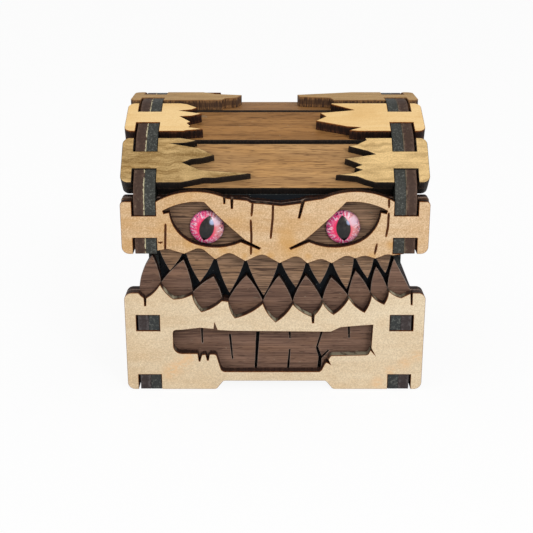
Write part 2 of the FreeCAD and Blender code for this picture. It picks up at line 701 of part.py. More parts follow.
def plank_slots(part, sides):
    """Half slots at a plank's two long edges, on the sketch sides given by their signs."""
    sketch = new_sketch(part, "slots")
    for sign in sides:
        near, far = (SLOT_IN, SLOT_OUT) if sign > 0 else (f"-{SLOT_OUT}", f"-{SLOT_IN}")
        rectangle(sketch, near, far, "-Sizes.ply", "Sizes.tab_reach + Sizes.fit")
        rectangle(sketch, near, far, f"{PITCH} - Sizes.tab_reach - Sizes.fit", f"{PITCH} + Sizes.ply")
    cut(part, sketch)


def lid_planks():
    """Dark planks across the lid, each with a broken birch strip over both of its ends."""
    half, radius, gap = value(HALF), value("Sizes.corner_radius"), value("Sizes.plank_gap / 2")
    high, length = value(PITCH) - gap, value("Sizes.strip_length")
    rows = [("front", "lower"), ("front", "upper"), ("", "top"), ("back", "upper"), ("back", "lower")]
    for facing, row in rows:
        name = "_".join(word for word in (facing, row) if word)
        plank = plank_body(f"lid_plank_{name}", row, facing, 0)
        sketch = new_sketch(plank, "outline")
        draw(sketch, [
            Point(-half, gap, radius=radius), Point(half, gap, radius=radius),
            Point(half, high, radius=radius), Point(-half, high, radius=radius),
        ])
        pad(plank, sketch)
        plank_slots(plank, SIDES.values())
        for side in SIDES:
            # seen from outside, a back plank's left end is the chest's right end
            hand = side if facing != "back" else {"left": "right", "right": "left"}[side]
            strip = plank_body(f"lid_strip_{name}_{side}", row, facing, 1)
            edge = [Point(u * length - half, gap + w * (high - gap)) for u, w in BREAKS[row, hand]]
            outline = [Point(-half, gap, radius=radius), *edge, Point(-half, high, radius=radius)]
            sketch = new_sketch(strip, "outline")
            draw(sketch, outline if hand == "left" else flipped(outline))
            pad(strip, sketch)
            plank_slots(strip, [SIDES[hand]])


def eyes():
    """Glass domes, glued by their flat backs to the dark backing."""
    radius, rim, dome = (value(f"Sizes.eye_{name}") for name in ("radius", "rim", "dome"))
    crown = tan(atan((dome - rim) / radius) / 2) / 2
    for side, sign in SIDES.items():
        part = new_body(f"eye_{side}", FACING_FRONT, x=f"{sign} * Sizes.eye_spacing / 2",
                        y=f"{FRONT} + Sizes.ply", z=f"{LID} + Sizes.eye_height")
        sketch = new_sketch(part, "profile", "XZ_Plane")
        draw(sketch, [Point(0, 0), Point(radius, 0), Point(radius, rim, crown), Point(0, dome)])
        turned = part.newObject("PartDesign::Revolution", f"{part.Name}_turned")
        turned.Profile = sketch
        turned.ReferenceAxis = (sketch, ["V_Axis"])
        turned.Angle = 360
        doc.recompute()


def leaf(label, rotation, x, spans, bore):
    """One hinge leaf; its sketch origin is the pin's axis and its plate hangs below it."""
    part = new_body(label, rotation, x=x, y=HINGE_Y, z=HINGE_Z)
    offset, thickness = value(AXIS_OFFSET), value("Sizes.leaf_thickness")
    radius, stop = value("Sizes.knuckle_radius"), value("Sizes.knuckle_radius + Sizes.hinge_stand")
    plate = new_sketch(part, "plate")
    rectangle(plate, f"-{AXIS_OFFSET}", f"-{AXIS_OFFSET} + Sizes.leaf_thickness",
              "-Sizes.leaf_height", "-(Sizes.knuckle_radius + Sizes.hinge_stand)")
    pad(part, plate, "Sizes.hinge_width")
    join = sqrt(radius**2 - (offset - thickness) ** 2)
    chord = hypot(radius - offset + thickness, join)
    around = (radius + sqrt(radius**2 - (chord / 2) ** 2)) / chord
    for number, (start, length) in enumerate(spans):
        knuckle = new_sketch(part, f"knuckle_{number}")
        knuckle.setExpression("AttachmentOffset.Base.z", start)
        draw(knuckle, [
            Point(-offset, -stop), Point(thickness - offset, -stop),
            Point(thickness - offset, -join, around), Point(-radius, 0), Point(-offset, 0),
        ])
        pad(part, knuckle, length)
    hole = new_sketch(part, "bore")
    circle(hole, "bore", "0", "0", bore)
    cut(part, hole)
    holes = new_sketch(part, "screw_holes", "YZ_Plane")
    for number, sign in enumerate(("-", "+")):
        circle(holes, f"screw_{number}", "-Sizes.screw_height",
               f"Sizes.hinge_width / 2 {sign} Sizes.screw_spacing / 2", "Sizes.screw_radius + Sizes.fit")
    cut(part, holes, ahead=False)


def hinges():
    """Two brass butt hinges over the parting line, with pins fast in the base leaves."""
    outer = "((Sizes.hinge_width - Sizes.knuckle_length) / 2 - Sizes.knuckle_play)"
    ends = [("0", outer), (f"Sizes.hinge_width - {outer}", outer)]
    middle = [("(Sizes.hinge_width - Sizes.knuckle_length) / 2", "Sizes.knuckle_length")]
    for side, sign in SIDES.items():
        centre = f"{sign} * Sizes.hinge_spacing / 2"
        leaf(f"hinge_{side}_base_leaf", SIDEWAYS, f"{centre} - Sizes.hinge_width / 2", ends,
             "Sizes.pin_radius")
        leaf(f"hinge_{side}_lid_leaf", SIDEWAYS * Rotation(X_AXIS, 180),
             f"{centre} + Sizes.hinge_width / 2", middle, "Sizes.pin_radius + Sizes.pin_play")
        pin = doc.addObject("Part::Cylinder", f"hinge_{side}_pin")
        pin.Label = pin.Name
        pin.Placement = Placement(Vector(), Rotation(Vector(0, 1, 0), 90))
        pin.setExpression("Radius", "Sizes.pin_radius")
        pin.setExpression("Height", "Sizes.hinge_width")
        pin.setExpression("Placement.Base.x", f"{centre} - Sizes.hinge_width / 2")
        pin.setExpression("Placement.Base.y", HINGE_Y)
        pin.setExpression("Placement.Base.z", HINGE_Z)
        nodes.append(pin)


def screws():
    """Round-headed screws through the leaves, four in the base and four in the lid."""
    for leaf_name, sign in LEAF_SIGNS.items():
        solids = []
        for number, x in enumerate(SCREW_PLACES):
            shank = doc.addObject("Part::Cylinder", f"{leaf_name}_shank_{number}")
            shank.setExpression("Radius", "Sizes.screw_radius")
            shank.setExpression("Height", "Sizes.screw_length")
            head = doc.addObject("Part::Cone", f"{leaf_name}_head_{number}")
            head.setExpression("Radius1", "Sizes.screw_head_radius")
            head.setExpression("Radius2", "Sizes.screw_crown_radius")
            head.setExpression("Height", "Sizes.screw_head_height")
            y = f"{BACK} + Sizes.leaf_thickness"
            for piece, turn, place in ((shank, 90, y), (head, -90, y)):
                piece.Placement = Placement(Vector(), Rotation(X_AXIS, turn))
                piece.setExpression("Placement.Base.x", x)
                piece.setExpression("Placement.Base.y", place)
                piece.setExpression("Placement.Base.z", f"{HINGE_Z} {sign} Sizes.screw_height")
            screw = doc.addObject("Part::Fuse", f"{leaf_name}_screw_{number}")
            screw.Base, screw.Tool = shank, head
            solids.append(screw)
        group = doc.addObject("Part::Compound", f"hinge_screws_{leaf_name}")
        group.Label = group.Name
        group.Links = solids
        nodes.append(group)


def main():
    for build in (base_front, base_back, base_sides, base_floor, lid_front, lid_back, lid_sides,
                  lid_planks, eyes, hinges, screws):
        build()
    doc.recompute()
    for item in doc.Objects:
        if "Invalid" in item.State or "Error" in item.State:
            raise RuntimeError(f"{item.Name} failed: {item.State}")
    os.makedirs("parts", exist_ok=True)
    for node in nodes:
        if node.Shape.isNull() or not node.Shape.isValid():
            raise RuntimeError(f"{node.Label} has no valid shape")
    for node in nodes:
        node.Shape.exportStep(f"parts/{node.Label}.step")
    whole = FreeCAD.BoundBox()
    for node in nodes:
        whole.add(node.Shape.BoundBox)
    print(f"{len(nodes)} nodes, {whole}")


main()
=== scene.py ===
import json
import math
from contextlib import contextmanager

import bmesh
import bpy
from bpy.props import FloatProperty, FloatVectorProperty, IntProperty, PointerProperty
from mathutils import Matrix, Vector


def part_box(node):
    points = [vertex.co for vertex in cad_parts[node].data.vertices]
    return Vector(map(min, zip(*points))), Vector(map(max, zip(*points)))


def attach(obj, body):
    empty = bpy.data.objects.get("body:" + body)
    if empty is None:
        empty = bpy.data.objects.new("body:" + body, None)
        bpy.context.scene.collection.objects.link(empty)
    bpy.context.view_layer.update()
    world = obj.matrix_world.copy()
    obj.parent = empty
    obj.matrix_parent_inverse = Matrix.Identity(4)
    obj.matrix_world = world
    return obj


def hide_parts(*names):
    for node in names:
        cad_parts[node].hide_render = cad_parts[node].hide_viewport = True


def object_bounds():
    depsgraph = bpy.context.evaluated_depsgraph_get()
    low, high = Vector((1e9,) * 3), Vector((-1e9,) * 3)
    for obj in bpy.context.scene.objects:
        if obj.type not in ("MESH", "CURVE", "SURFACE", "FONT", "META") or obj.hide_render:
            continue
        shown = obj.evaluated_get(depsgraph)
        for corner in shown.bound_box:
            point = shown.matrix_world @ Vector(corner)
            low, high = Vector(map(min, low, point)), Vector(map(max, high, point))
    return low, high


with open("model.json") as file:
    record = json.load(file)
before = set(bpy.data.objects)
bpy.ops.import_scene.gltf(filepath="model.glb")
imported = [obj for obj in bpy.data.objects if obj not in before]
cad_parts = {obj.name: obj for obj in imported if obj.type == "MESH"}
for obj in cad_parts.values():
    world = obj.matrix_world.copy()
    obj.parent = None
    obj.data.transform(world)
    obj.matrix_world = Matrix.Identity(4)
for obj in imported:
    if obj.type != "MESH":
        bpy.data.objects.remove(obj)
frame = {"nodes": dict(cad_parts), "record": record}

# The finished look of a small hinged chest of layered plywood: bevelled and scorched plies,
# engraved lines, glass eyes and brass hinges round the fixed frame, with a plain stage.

bl_info = {
    "name": "Layered chest",
    "version": (1, 0, 0),
    "blender": (4, 5, 0),
    "location": "View3D > Sidebar > Chest",
    "description": "Dresses a small hinged chest of layered plywood and lights it",
    "category": "Object",
}

MM = 0.001
CAD_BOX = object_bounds()
RECORD = frame["record"]
NODE_BODY = {node: body for body, nodes in RECORD["behaviour"]["bodies"].items() for node in nodes}
SIDES = ("left", "right")
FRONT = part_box("lid_face")[0].y
EYE_BOXES = {side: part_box(f"eye_{side}") for side in SIDES}


def srgb(red, green, blue):
    """A colour given in 0..255 as the linear numbers that a socket takes."""
    return tuple(
        (part / 255 / 12.92) if part / 255 <= 0.04045 else ((part / 255 + 0.055) / 1.055) ** 2.4
        for part in (red, green, blue)
    )


def colour(name, description, *parts):
    return FloatVectorProperty(
        name=name, description=description, subtype="COLOR", size=3, min=0, max=1, default=srgb(*parts)
    )


def length(name, description, default):
    """A length in metres, given in millimetres."""
    return FloatProperty(
        name=name, description=description, default=default * MM, min=0, precision=5, unit="LENGTH"
    )


# ---------------------------------------------------------------- settings


class ChestWood(bpy.types.PropertyGroup):
    birch: colour("Birch", "Pale birch of the front and back of the base", 229, 211, 181)
    birch_tan: colour("Birch, darker", "Tanner streaks in the birch", 211, 185, 149)
    warm: colour("Warm birch", "Birch of the lid's front and back", 224, 195, 159)
    warm_tan: colour("Warm birch, darker", "Tanner streaks in the lid's birch", 200, 158, 108)
    gold: colour("Golden birch", "Birch of the upper strips", 250, 216, 158)
    gold_tan: colour("Golden birch, darker", "Streaks in the golden birch", 232, 186, 118)
    olive: colour("Smoked birch", "Birch of the lower strips", 232, 197, 138)
    olive_tan: colour("Smoked birch, darker", "Smoke streaks on the lower strips", 134, 104, 58)
    toast: colour("Toasted birch", "Birch of the top strips", 206, 170, 118)
    toast_tan: colour("Toasted birch, darker", "Streaks in the toasted birch", 150, 112, 66)
    # This colour paints heat marks and smoky patches, and at the listed spots it also paints shade in the
    # corners between crowns, brows and eyes.
    scorch_and_shade: colour("Scorch", "Heat marks and smoky patches in the birch", 202, 150, 76)
    figure: colour("Figure", "Pink figure in the birch", 226, 187, 142)
    plank: colour("Plank", "Light grain of the lowest planks", 192, 149, 98)
    plank_dark: colour("Plank, dark", "Dark grain of the lowest planks", 112, 78, 48)
    # Painted shade: the planks nearer the top use this darker copy of the plank walnut.
    shaded_plank: colour("Upper planks", "Light grain of the planks nearer the top", 172, 125, 74)
    shaded_plank_dark: colour("Upper planks, dark", "Dark grain of the planks nearer the top", 104, 68, 36)
    tooth: colour("Upper teeth", "Light grain of the lid's backing and the outer walls", 157, 125, 98)
    tooth_dark: colour("Upper teeth, dark", "Dark grain of the lid's backing and the outer walls", 68, 49, 39)
    jaw: colour("Lower teeth", "Light grain of the base's backing", 134, 104, 87)
    jaw_dark: colour("Lower teeth, dark", "Dark grain of the base's backing", 76, 54, 45)
    black: colour("Black ply", "Floor, liners and the base's inner walls", 14, 20, 26)
    black_wall: colour("Black walls", "Inner walls of the lid", 24, 25, 22)
    speck: colour("Black ply, specks", "Pale specks on the black plies", 120, 126, 128)
    grit: colour("Black ply, grit", "Pale grains in the black plies' cut edges", 138, 140, 132)
    char: colour("Char", "Cut edges of the lid's birch and of the backings", 31, 20, 18)
    char_brown: colour("Brown char", "Lighter bands in those cut edges", 84, 51, 34)
    toast_char: colour("Toasted char", "Cut edges of the top strips", 64, 44, 32)
    toast_brown: colour("Toasted brown", "Lighter bands in the top strips' edges", 146, 106, 66)
    umber: colour("Umber", "Cut edges of the base's birch", 50, 34, 29)
    umber_brown: colour("Brown umber", "Lighter bands in the base's cut edges", 90, 62, 50)
    rim: colour("Burnt rim", "Engraved lines and the outer corner of a birch cut", 126, 70, 20)
    soot_rim: colour("Sooty rim", "Outer corner of the smoked strips and the planks", 56, 42, 30)
    # Painted highlight: a pale line along the outer corner of the backings' cut edges, where light catches
    # the teeth's edges.
    rim_highlight: colour("Dull rim", "Outer corner of the backings' cuts", 138, 121, 110)
    soot: colour("Soot", "Cut edges of the smoked strips and the planks", 34, 31, 30)
    soot_brown: colour("Brown soot", "Lighter bands in the sooty edges", 62, 50, 43)
    # Pale ashy film and scuffs, and also painted glints on the front's cut edges.
    ash_and_glint: colour("Ash", "Pale film on parts of the cut edges, and scuffs", 182, 176, 150)
    tab_brown: colour("Tab ends", "Cut edges of the lid's outer walls", 66, 48, 39)
    tab_light: colour("Tab ends, light", "Worn grain in the lid's tab ends", 92, 70, 58)
    tab_dark: colour("Lower tab ends", "Cut edges of the base's outer walls", 56, 48, 47)
    tab_grey: colour("Lower tab ends, light", "Worn grain in the base's tab ends", 84, 78, 78)
    glue: colour("Glue line", "Pale line where two walls are glued, and dust on their ends", 196, 186, 152)


class ChestEdges(bpy.types.PropertyGroup):
    bevel: length("Bevel", "Chamfer on every cut edge of the wood", 0.12)
    metal_bevel: length("Metal bevel", "Chamfer on the hinge leaves and pins", 0.08)
    score_width: length("Score width", "Width of the engraved lines", 0.76)


class ChestEyes(bpy.types.PropertyGroup):
    iris: colour("Iris", "Hot inner colour of the iris", 236, 34, 92)
    iris_pale: colour("Pale iris", "Outer colour of the iris", 242, 92, 152)
    fleck: colour("Flecks", "White flecks in the iris", 255, 226, 238)
    # Painted light: the iris is paler, in salmon, on its right-hand side.
    salmon: colour("Salmon", "Right-hand side of the iris", 218, 158, 150)
    # The rim colour also paints shade: a dark ring at the glass dome's edge.
    rim: colour("Rim", "Dark specks at the iris's rim", 92, 40, 96)
    glow: colour("Glow", "Broad sheen beside the pupil", 236, 206, 222)
    pupil: colour("Pupil", "Slit pupil", 6, 5, 9)
    haze: colour("Haze", "Smoke in the upper part of the pupil", 58, 50, 46)
    glint: colour("Glint", "Window's reflection on the pupil", 176, 190, 226)
    pupil_height: FloatProperty(
        name="Pupil height", description="Half height as a share of the eye's radius", default=0.78, min=0.1,
        max=0.95,
    )
    pupil_width: FloatProperty(
        name="Pupil width", description="Half width as a share of the eye's radius", default=0.42, min=0.05,
        max=0.9,
    )
    left_lean: FloatProperty(
        name="Left lean", description="Tilt of the left pupil", default=math.radians(-15), subtype="ANGLE"
    )
    right_lean: FloatProperty(
        name="Right lean", description="Tilt of the right pupil", default=math.radians(6), subtype="ANGLE"
    )
    rim_share: FloatProperty(
        name="Glass rim", description="Upright rim as a share of the dome's height", default=0.27, min=0,
        max=0.9,
    )
    rings: IntProperty(name="Rings", description="Rings of faces on each glass dome", default=20, min=4)
    spokes: IntProperty(name="Spokes", description="Faces round each glass dome", default=64, min=12)


class ChestMetal(bpy.types.PropertyGroup):
    leaf: colour("Brass", "Hinge leaves and pins", 196, 152, 78)
    screw: colour("Screw brass", "Screw heads", 206, 170, 104)
    tarnish: colour("Tarnish", "Dull patches on both", 120, 86, 44)


class ChestScrews(bpy.types.PropertyGroup):
    head_radius: length("Head radius", "Radius of a hinge screw's head", 1.4)
    head_height: length("Head height", "Height of a hinge screw's head", 0.5)
    slot_width: length("Slot width", "Width of the driver slot", 0.34)
    spacing: length("Spacing", "Between the two screws of a leaf", 8.0)
    seed: IntProperty(name="Seed", description="Picks how far each screw is turned", default=3)


class ChestStage(bpy.types.PropertyGroup):
    camera_distance: length("Camera distance", "From the front face to the camera", 286.5)
    camera_height: length("Camera height", "Above the floor", 136.2)
    camera_side: length("Camera offset", "To the left of the chest's middle", 2.5)
    camera_pitch: FloatProperty(
        name="Camera pitch", description="Downwards tilt", default=math.radians(18.6), subtype="ANGLE"
    )
    camera_lens: FloatProperty(name="Lens", description="Focal length in mm", default=69.16, min=1)
    floor: colour("Floor", "Colour of the floor", 250, 250, 250)
    ambient: FloatProperty(name="Ambient", description="Strength of the surrounding light", default=0.62)
    key: FloatProperty(name="Key lamp", description="Power in watts", default=2.6)
    fill: FloatProperty(name="Fill lamp", description="Power in watts", default=0.9)


SETTINGS = {
    "chest_wood": ChestWood,
    "chest_edges": ChestEdges,
    "chest_eyes": ChestEyes,
    "chest_metal": ChestMetal,
    "chest_screws": ChestScrews,
    "chest_stage": ChestStage,
}


# ---------------------------------------------------------------- shader maths


class Field:
    """A socket in a material's tree.  Arithmetic on it adds Math nodes."""

    def __init__(self, finish, socket):
        self.finish = finish
        self.socket = socket

    def _math(self, operation, *values, clamp=False):
        settings = {"operation": operation, "use_clamp": clamp}
        return self.finish.node("ShaderNodeMath", settings, dict(enumerate(values)))

    def __add__(self, other):
        return self._math("ADD", self, other)

    def __sub__(self, other):
        return self._math("SUBTRACT", self, other)

    def __rsub__(self, other):
        return self._math("SUBTRACT", other, self)

    def __mul__(self, other):
        return self._math("MULTIPLY", self, other)

    def __truediv__(self, other):
        return self._math("DIVIDE", self, other)

    def __pow__(self, other):
        return self._math("POWER", self, other)

    def __abs__(self):
        return self._math("ABSOLUTE", self)

    __radd__ = __add__
    __rmul__ = __mul__

    def clamped(self):
        return self._math("ADD", self, 0.0, clamp=True)

    def rise(self, low, high):
        """0 below low, 1 above high, and smooth between; low may be the larger one."""
        return self.finish.node(
            "ShaderNodeMapRange",
            {"interpolation_type": "SMOOTHSTEP"},
            {"Value": self, "From Min": low, "From Max": high},
        )


class Finish:
    """A material and the nodes that it is made of."""

    MIX_FACTOR, MIX_A, MIX_B, MIX_RESULT = 0, 6, 7, 2

    def __init__(self, name):
        self.material = bpy.data.materials.new(name)
        self.material.use_nodes = True
        self.tree = self.material.node_tree
        self.tree.nodes.clear()
        self.place = self.node("ShaderNodeTexCoord", output="Object")

    def node(self, kind, settings=None, inputs=None, output=0):
        """Add a node: its settings are set first, then the values or links of its sockets."""
        made = self.tree.nodes.new(kind)
        for name, setting in (settings or {}).items():
            setattr(made, name, setting)
        for key, value in (inputs or {}).items():
            if isinstance(value, Field):
                self.tree.links.new(value.socket, made.inputs[key])
            else:
                made.inputs[key].default_value = value
        return Field(self, made.outputs[output])

    def attribute(self, name):
        return self.node("ShaderNodeAttribute", {"attribute_name": name}, output="Fac")

    def coordinates(self, centre=(0, 0, 0), turn=0.0):
        """x, y and z in metres from centre, turned about the front-to-back axis."""
        moved = self.node("ShaderNodeVectorMath", {"operation": "SUBTRACT"}, {0: self.place, 1: centre})
        turned = self.node("ShaderNodeMapping", {}, {"Vector": moved, "Rotation": (0, turn, 0)})
        return [self.node("ShaderNodeSeparateXYZ", {}, {0: turned}, output=axis) for axis in "XYZ"]

    def noise(self, size, detail=2.0, roughness=0.5, distortion=0.0, shift=0.0, vector=None):
        """Noise whose spots measure about size millimetres along x, y and z."""
        scale = [1 / (part * MM) for part in size]
        mapped = self.node(
            "ShaderNodeMapping", {},
            {"Vector": vector or self.place, "Location": (shift,) * 3, "Scale": scale},
        )
        return self.node(
            "ShaderNodeTexNoise",
            {},
            {
                "Vector": mapped, "Scale": 1.0, "Detail": detail, "Roughness": roughness,
                "Distortion": distortion,
            },
        )

    def swayed(self, size, reach):
        """The place, pushed to and fro by up to reach millimetres over spots of the given size."""
        push = (self.noise(size, detail=1, shift=0.55) - 0.5) * (2 * reach * MM)
        spread = self.node("ShaderNodeCombineXYZ", {}, {axis: push for axis in range(3)})
        return self.node("ShaderNodeVectorMath", {"operation": "ADD"}, {0: self.place, 1: spread})

    def mix(self, factor, low, high):
        """The colour low where factor is 0 and high where it is 1."""
        opaque = {
            key: value if isinstance(value, Field) else (*value, 1)
            for key, value in ((self.MIX_A, low), (self.MIX_B, high))
        }
        return self.node(
            "ShaderNodeMix", {"data_type": "RGBA"}, {self.MIX_FACTOR: factor, **opaque}, self.MIX_RESULT
        )

    def spots(self, places):
        """1 in the middle of each round spot on an upright plane, which is (x, z, radius) in mm."""
        flat = self.node("ShaderNodeMapping", {}, {"Vector": self.place, "Scale": (1 / MM, 0, 1 / MM)})
        total = None
        for x, z, radius in places:
            away = self.node(
                "ShaderNodeVectorMath", {"operation": "DISTANCE"}, {0: flat, 1: (x, 0, z)}, "Value"
            )
            spot = away.rise(radius, 0)
            total = spot if total is None else total + spot
        return total.clamped()

    def bump(self, height, distance, strength=1.0):
        return self.node(
            "ShaderNodeBump", {}, {"Height": height, "Distance": distance * MM, "Strength": strength}
        )

    def surface(self, shade, roughness, **sockets):
        """End the tree in a Principled shader; other sockets are given by name, _ for space."""
        base = shade if isinstance(shade, Field) else (*shade, 1)
        inputs = {"Base Color": base, "Roughness": roughness}
        inputs.update({name.replace("_", " "): value for name, value in sockets.items()})
        shader = self.node("ShaderNodeBsdfPrincipled", {}, inputs)
        self.node_output(shader)
        return self.material

    def node_output(self, shader):
        output = self.tree.nodes.new("ShaderNodeOutputMaterial")
        self.tree.links.new(shader.socket, output.inputs["Surface"])


# ---------------------------------------------------------------- materials

X_GRAIN = (1, 0, 0)
Y_GRAIN = (0, 1, 0)
# Sizes of the scorched bands in a cut edge, most of them long through the ply.
THROUGH_Y = (0.4, 4, 0.4)
GRAINY = (0.9, 0.9, 0.9)
THROUGH_SLOPE = (0.4, 3, 3)


def along(grain, length_mm, width_mm):
    """Noise sizes for marks that are long along the grain and narrow across it."""
    return [length_mm if part else width_mm for part in grain]


def cut_edge(finish, dark, light, rim, through, ash_and_glint=None):
    """Colour and roughness of a cut edge: charred bands, an outer corner in the rim colour (burnt brown, or a
    painted highlight on the backings) and, in front, ashy film with painted glints.
    """
    depth = finish.attribute("ply_depth")
    bands = finish.noise(through, detail=3, roughness=0.7)
    veneer = abs(depth - 0.5).rise(0.16, 0.30)
    shade = finish.mix(bands.rise(0.40, 0.66) * (0.30 + veneer * 0.70), dark, light)
    rim_patches = finish.noise((1.2, 1.2, 1.2), detail=2, shift=0.3).rise(0.30, 0.60)
    # The outer corner takes the rim colour: burnt brown on birch, a painted highlight on the backings.
    shade = finish.mix(depth.rise(0.87, 0.93) * (0.45 + rim_patches * 0.55), shade, rim)
    if not ash_and_glint:
        return shade, 0.6
    # Ashy film and painted glints: pale patches at the listed spots on the front's cut edges, stronger where
    # an edge faces right, towards the key lamp.
    patches = finish.noise((1.6, 4, 1.6), detail=3, shift=0.6).rise(0.34, 0.56)
    film = finish.spots(ASH_AND_GLINT_SPOTS) * (0.3 + patches) * depth.rise(0.95, 0.82) * depth.rise(0.02, 0.25)
    film = film.clamped() * (0.35 + finish.attribute("lean").rise(-0.2, 0.3) * 0.65)
    film = film * finish.coordinates()[1].rise(0.0, -0.02)
    return finish.mix((film * (0.75 + bands * 0.6)).clamped(), shade, ash_and_glint), 0.6 - film * 0.25


def birch(name, wood, pale, tan, edges, through=THROUGH_Y, mottle=0.3, smoke=0.3, speckle=0.5,
          leftward=0.0, scorch_and_shade_spots=(), figure=(), ash_and_glint=None):
    """Sanded birch: soft bands, fine fibres, specks, heat marks and painted shade at given spots, charred
    where it was cut.

    leftward darkens it towards the chest's left end, and edges holds what cut_edge takes.
    """
    finish = Finish(name)
    bands = finish.noise(along(X_GRAIN, 40, 8), detail=3, distortion=0.6)
    fibres = finish.noise(along(X_GRAIN, 5, 0.4), detail=3, roughness=0.65)
    specks = finish.noise((0.46, 0.4, 0.4), detail=2, roughness=0.8)
    flecks = finish.noise(along(X_GRAIN, 1.4, 0.35), shift=0.7).rise(0.68, 0.78)
    swayed = finish.swayed((5, 5, 5), 1.1)
    streaks = finish.noise(along(X_GRAIN, 9, 1.5), detail=4, roughness=0.62, shift=0.2, vector=swayed)
    tone = bands.rise(0.3, 0.75) * (1 - mottle) + streaks.rise(0.34, 0.70) * mottle
    if leftward:
        tone = tone + finish.coordinates()[0].rise(0.034, -0.034) * leftward - leftward * 0.35
    shade = finish.mix((tone * 0.78 + fibres.rise(0.35, 0.8) * 0.22).clamped(), pale, tan)
    shade = finish.mix(specks.rise(0.42, 0.66) * speckle, shade, [part * 0.66 for part in tan])
    shade = finish.mix(specks.rise(0.47, 0.30) * speckle, shade, [min(part * 1.2, 1) for part in pale])
    shade = finish.mix(flecks * 0.4, shade, [part * 0.5 for part in tan])
    haze = finish.noise(along(X_GRAIN, 12, 7), detail=2, shift=0.5).rise(0.50, 0.72) * smoke
    # The listed spots are heat marks and also painted shade in the corners between crowns, brows and eyes.
    if scorch_and_shade_spots:
        haze = haze + finish.spots(scorch_and_shade_spots) * (0.35 + streaks * 0.6)
    shade = finish.mix(haze.clamped() * 0.75, shade, wood.scorch_and_shade)
    if figure:
        flames = finish.noise((2.4, 1, 1.6), detail=3, distortion=1.2, shift=0.1).rise(0.32, 0.60)
        shade = finish.mix(finish.spots(figure) * flames * 0.75, shade, wood.figure)
    edge, edge_roughness = cut_edge(finish, *edges, through, ash_and_glint)
    cut = finish.attribute("cut")
    relief = (fibres * 0.5 + specks * 0.5) * (1 - cut) + finish.noise(through, detail=3) * cut
    roughness = (0.62 + fibres * 0.1) * (1 - cut) + cut * edge_roughness
    return finish.surface(
        finish.mix(cut, shade, edge), roughness, Normal=finish.bump(relief, 0.06, 0.5),
        Specular_IOR_Level=0.16,
    )


def walnut(name, wood, light, dark, edges, through=THROUGH_Y, grain=X_GRAIN, run=26, line=0.38,
           depth=0.46, fill=0.46, glue=False):
    """Walnut ply: soft bands crossed by thin dark lines and short pores along the grain.

    run and line are the lines' length and width in mm, depth their strength and fill how rare they
    are; glue adds the pale seam between two walls.
    """
    finish = Finish(name)
    swayed = finish.swayed(along(grain, 16, 7), 0.35)
    bands = finish.noise(along(grain, 50, 2.6), detail=3, shift=0.1, vector=swayed)
    lines = finish.noise(along(grain, run, line), detail=2, roughness=0.5, vector=swayed)
    hairs = finish.noise(along(grain, run / 2, line * 0.6), detail=1, shift=0.4, vector=swayed)
    scuffs = finish.noise((2.2, 1.2, 1.0), detail=2, distortion=0.8, shift=0.25).rise(0.70, 0.78)
    pores = finish.noise(along(grain, 3.2, 0.26), detail=1, shift=0.8, vector=swayed).rise(0.60, 0.70)
    ambers = finish.noise(along(grain, 24, 5), detail=2, shift=0.7).rise(0.42, 0.68)
    shade = finish.mix(ambers * 0.35, light, [light[0] * 1.08, light[1] * 0.94, light[2] * 0.66])
    tone = bands.rise(0.34, 0.66) * 0.38 + lines.rise(fill, fill + 0.12) * depth
    tone = tone + hairs.rise(0.40, 0.70) * 0.25
    shade = finish.mix(tone.clamped(), shade, dark)
    shade = finish.mix(lines.rise(0.42, 0.33) * depth * 0.5, shade, [min(part * 1.3, 1) for part in light])
    shade = finish.mix(pores * 0.6, shade, [part * 0.5 for part in dark])
    shade = finish.mix(scuffs * 0.25, shade, wood.ash_and_glint)
    edge, edge_roughness = cut_edge(finish, *edges, through)
    if glue:
        wander = finish.noise((1.6, 1.1, 1.1), detail=3, roughness=0.7) * 0.26
        seam = (finish.attribute("ply_depth") - 0.13 + wander).rise(0.12, 0.06)
        film = finish.noise((3.2, 2.4, 2.4), detail=3, shift=0.9).rise(0.36, 0.46)
        x, _, z = finish.coordinates()
        shown = (x.rise(0.0, -0.02) * 0.85 + 0.15) * z.rise(0.042, 0.045)
        edge = finish.mix((seam * film * shown).clamped(), edge, wood.glue)
        dust = finish.noise((0.9, 0.9, 0.9), detail=4, roughness=0.8, shift=0.2).rise(0.60, 0.70)
        edge = finish.mix(dust * 0.22, edge, wood.glue)
    cut = finish.attribute("cut")
    relief = (hairs * 0.5 + (1 - pores) * 0.5) * (1 - cut) + finish.noise(through, detail=3) * cut
    roughness = (0.52 + hairs * 0.15) * (1 - cut) + cut * edge_roughness
    return finish.surface(
        finish.mix(cut, shade, edge), roughness, Normal=finish.bump(relief, 0.06, 0.6),
        Specular_IOR_Level=0.2,
    )


def black_ply(name, wood, base, grain=X_GRAIN):
    """Black-stained ply: faint fibres and pale specks, with gritty end grain on its edges."""
    finish = Finish(name)
    fibres = finish.noise(along(grain, 8, 0.5), detail=3, roughness=0.7)
    specks = finish.noise((0.55, 0.55, 0.55), detail=1, shift=0.6).rise(0.72, 0.80)
    grit = finish.noise((0.7, 0.7, 0.7), detail=3, roughness=0.8).rise(0.50, 0.68)
    cut = finish.attribute("cut")
    shade = finish.mix(fibres.rise(0.4, 0.8) * 0.5, base, [part * 2.0 for part in base])
    shade = finish.mix(specks * 0.6 * (1 - cut), shade, wood.speck)
    shade = finish.mix(cut * (0.10 + grit * 0.36), shade, wood.grit)
    relief = fibres * (1 - cut) + grit * cut
    return finish.surface(
        shade, 0.6 - cut * 0.1, Normal=finish.bump(relief, 0.07, 0.7), Specular_IOR_Level=0.22
    )


def brass(name, metal, base):
    """Rolled brass, a little tarnished, with fine scratches along the hinge."""
    finish = Finish(name)
    tarnish = finish.noise((3, 3, 3), detail=3).rise(0.45, 0.7)
    scratches = finish.noise((9, 0.12, 0.12), detail=2, shift=0.4)
    shade = finish.mix(tarnish * 0.5, base, metal.tarnish)
    return finish.surface(
        shade, 0.28 + tarnish * 0.18 + scratches * 0.12, Metallic=1.0,
        Normal=finish.bump(scratches, 0.02, 0.4),
    )


